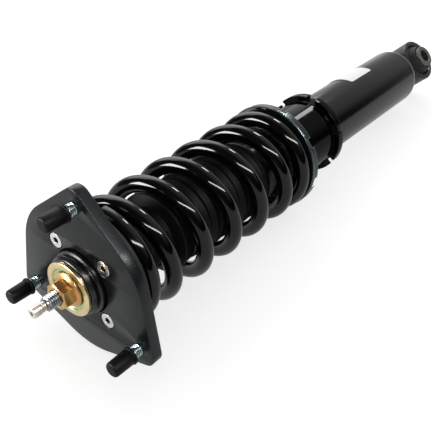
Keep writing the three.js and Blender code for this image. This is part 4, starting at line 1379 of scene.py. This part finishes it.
def make_eye_core():
    profile = mirrored([(BOLT_R, -CORE_HALF, 0.5), (CORE_R, -CORE_HALF, 0.6)])
    core = turned_object("eye_steel_sleeve", profile, place=ACROSS_EYE)
    finish_piece(core, ["eye_sleeve"], CORE_BODY)


def make_label():
    """Blank label with rounded corners, lying on the tube."""
    low, high = LABEL_ALONG
    arc_low, arc_high = (math.radians(turn) * LABEL_R[0] for turn in LABEL_TURN)
    inset = LABEL_CORNER
    corners = ((arc_high - inset, high - inset, 0), (arc_low + inset, high - inset, 90),
               (arc_low + inset, low + inset, 180), (arc_high - inset, low + inset, 270))
    outline = []
    for x, y, start in corners:
        outline += arc((x, y), inset, start, start + 90, 8)
    mesh = bmesh.new()
    mesh.faces.new([mesh.verts.new((x, y, 0)) for x, y in outline])
    for k in range(1, LABEL_STEPS):
        x = arc_low + (arc_high - arc_low) * k / LABEL_STEPS
        parts = mesh.verts[:] + mesh.edges[:] + mesh.faces[:]
        bmesh.ops.bisect_plane(mesh, geom=parts, plane_co=(x, 0, 0), plane_no=(1, 0, 0))
    thick = bmesh.ops.extrude_face_region(mesh, geom=mesh.faces[:])
    for item in thick["geom"]:
        if isinstance(item, bmesh.types.BMVert):
            item.co.z = LABEL_R[1] - LABEL_R[0]
    for vert in mesh.verts:
        angle = vert.co.x / LABEL_R[0]
        radius = LABEL_R[0] + vert.co.z
        vert.co = (radius * math.cos(angle), radius * math.sin(angle), vert.co.y)
    bmesh.ops.recalc_face_normals(mesh, faces=mesh.faces)
    # Cutting and extruding leave an order that differs from run to run
    order = Vector((1, 3.7, 13.1))
    mesh.verts.sort(key=lambda vert: vert.co.dot(order))
    mesh.faces.sort(key=lambda face: face.calc_center_median().dot(order))
    finish_piece(make_object("blank_label", mesh), ["body_label"], TUBE_BODY)


def dress_carried_nodes():
    """Gives the nodes that stay as they are their own materials."""
    for name, target in frame["nodes"].items():
        if not target.hide_render:
            dress(target, SLOT_OF[name])


# Studio

def soft_box(name, azimuth, elevation, distance, size, radiance, aim=(0, 0, 0.05),
             lighting=True):
    """A soft box seen from the strut at an azimuth and elevation in degrees. A radiance of 1
    looks white. Where lighting is false, the box only shows in reflections."""
    light = bpy.data.lights.new(name, "AREA")
    light.shape = "RECTANGLE"
    light.size, light.size_y = size
    light.energy = radiance * math.pi * size[0] * size[1]
    lamp = bpy.data.objects.new(name, light)
    level, turn = math.radians(elevation), math.radians(azimuth)
    towards = Vector((math.cos(level) * math.cos(turn), math.cos(level) * math.sin(turn),
                      math.sin(level)))
    lamp.location = Vector(aim) + towards * distance
    lamp.rotation_mode = "QUATERNION"
    lamp.rotation_quaternion = (-towards).to_track_quat("-Z", "Y")
    lamp.visible_camera = False
    lamp.visible_diffuse = lighting
    bpy.context.scene.collection.objects.link(lamp)


def make_floor():
    """Pale matt floor under the strut, with some light of its own so that it shows white."""
    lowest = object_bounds()[0].z
    mesh = bmesh.new()
    bmesh.ops.create_grid(mesh, x_segments=1, y_segments=1, size=FLOOR_HALF)
    floor = make_object("studio_floor", mesh)
    floor.location = (0, 0, min(0, lowest))
    material = bpy.data.materials.new("studio white")
    material.use_nodes = True
    tree = material.node_tree
    shader = tree.nodes["Principled BSDF"]
    shader.inputs["Base Color"].default_value = (0.52, 0.52, 0.517, 1)
    shader.inputs["Roughness"].default_value = 0.9
    shader.inputs["Specular IOR Level"].default_value = 0
    shader.inputs["Emission Color"].default_value = (1, 1, 1, 1)
    path = node(tree, "LightPath")
    seen = maths(tree, "MAXIMUM", path.outputs["Is Camera Ray"],
                 path.outputs["Is Transmission Ray"])
    shown = maths(tree, "MAXIMUM", maths(tree, "MULTIPLY", seen, FLOOR_SEEN),
                  maths(tree, "MULTIPLY", path.outputs["Is Glossy Ray"], FLOOR_REFLECTED))
    tree.links.new(shown, shader.inputs["Emission Strength"])
    floor.data.materials.append(material)
    floor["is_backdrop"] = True


def make_world():
    """White to the camera. In reflections the white backdrop stands low behind the strut, and
    the room darkens to the front and towards the horizon on its right; surfaces are lit by an
    even sky."""
    dark = (0.02, 0.02, 0.02)
    world = bpy.data.worlds.new("studio")
    bpy.context.scene.world = world
    world.use_nodes = True
    tree = world.node_tree
    back = tree.nodes["Background"]
    path = node(tree, "LightPath")
    way = node(tree, "SeparateXYZ", (node(tree, "TexCoord").outputs["Generated"],)).outputs
    room = ramp(tree, mapped(tree, way[2], -0.2, 1, 0, 1), (
        (0.0, (1, 1, 1)), (0.17, (1, 1, 1)), (0.32, (0.65, 0.65, 0.64)),
        (1.0, (0.62, 0.62, 0.61))))
    turn = maths(tree, "ARCTAN2", way[1], way[0])
    gap = maths(tree, "MULTIPLY", mapped(tree, turn, -2.3, -1.7, 0, 1),
                mapped(tree, turn, -0.6, -0.2, 1, 0))
    gap = maths(tree, "MULTIPLY", gap, mapped(tree, way[2], 0.2, 0.55, 1, 0))
    room = mixed(tree, gap, room, dark)
    room = mixed(tree, mapped(tree, way[0], -0.1, 0.45, 0.9, 0), room, dark)
    shown = mixed(tree, path.outputs["Is Glossy Ray"], (0.65, 0.65, 0.65), room)
    seen = maths(tree, "MAXIMUM", path.outputs["Is Camera Ray"],
                 path.outputs["Is Transmission Ray"])
    tree.links.new(mixed(tree, seen, shown, (1, 1, 1)), back.inputs["Color"])
    back.inputs["Strength"].default_value = 1


def make_camera():
    camera = bpy.data.objects.new("camera", bpy.data.cameras.new("camera"))
    camera.data.lens = CAMERA_LENS
    camera.data.sensor_width = CAMERA_SENSOR
    camera.data.clip_start, camera.data.clip_end = 0.01, 50
    camera.location = FACE_CENTRE + Vector(CAMERA_FROM_FACE)
    forward = Vector(CAMERA_AHEAD).normalized()
    right = Vector(CAMERA_RIGHT).normalized()
    above = right.cross(forward)
    camera.rotation_mode = "QUATERNION"
    camera.rotation_quaternion = Matrix((right, above, -forward)).transposed().to_quaternion()
    bpy.context.scene.collection.objects.link(camera)
    bpy.context.scene.camera = camera


def make_lights():
    soft_box("near_left_box", 152, 15, 1.0, (0.4, 0.34), 30, lighting=False)
    soft_box("right_strip", -108, 46, 1.3, (2.2, 0.11), 28, lighting=False)
    soft_box("window_box", 14, 44, 0.5, (0.09, 0.12), 26, aim=(0.019, -0.005, 0.073),
             lighting=False)
    soft_box("key_box", 62, 32, 1.5, (1.6, 1.1), 2.2)


for make in (
        make_camera, make_top_plate, make_studs, make_caps, make_screws, make_housing, make_pad,
        make_bush, make_washer, make_nut, make_rod, make_dial, make_bump_stop, make_boot,
        make_spring, make_seat_ring, make_sleeve, make_tube, make_gland, make_eye, make_weld,
        make_eye_bush, make_eye_core, make_label, dress_carried_nodes, make_floor, make_world,
        make_lights):
    make()
bpy.context.scene.view_settings.view_transform = "Standard"
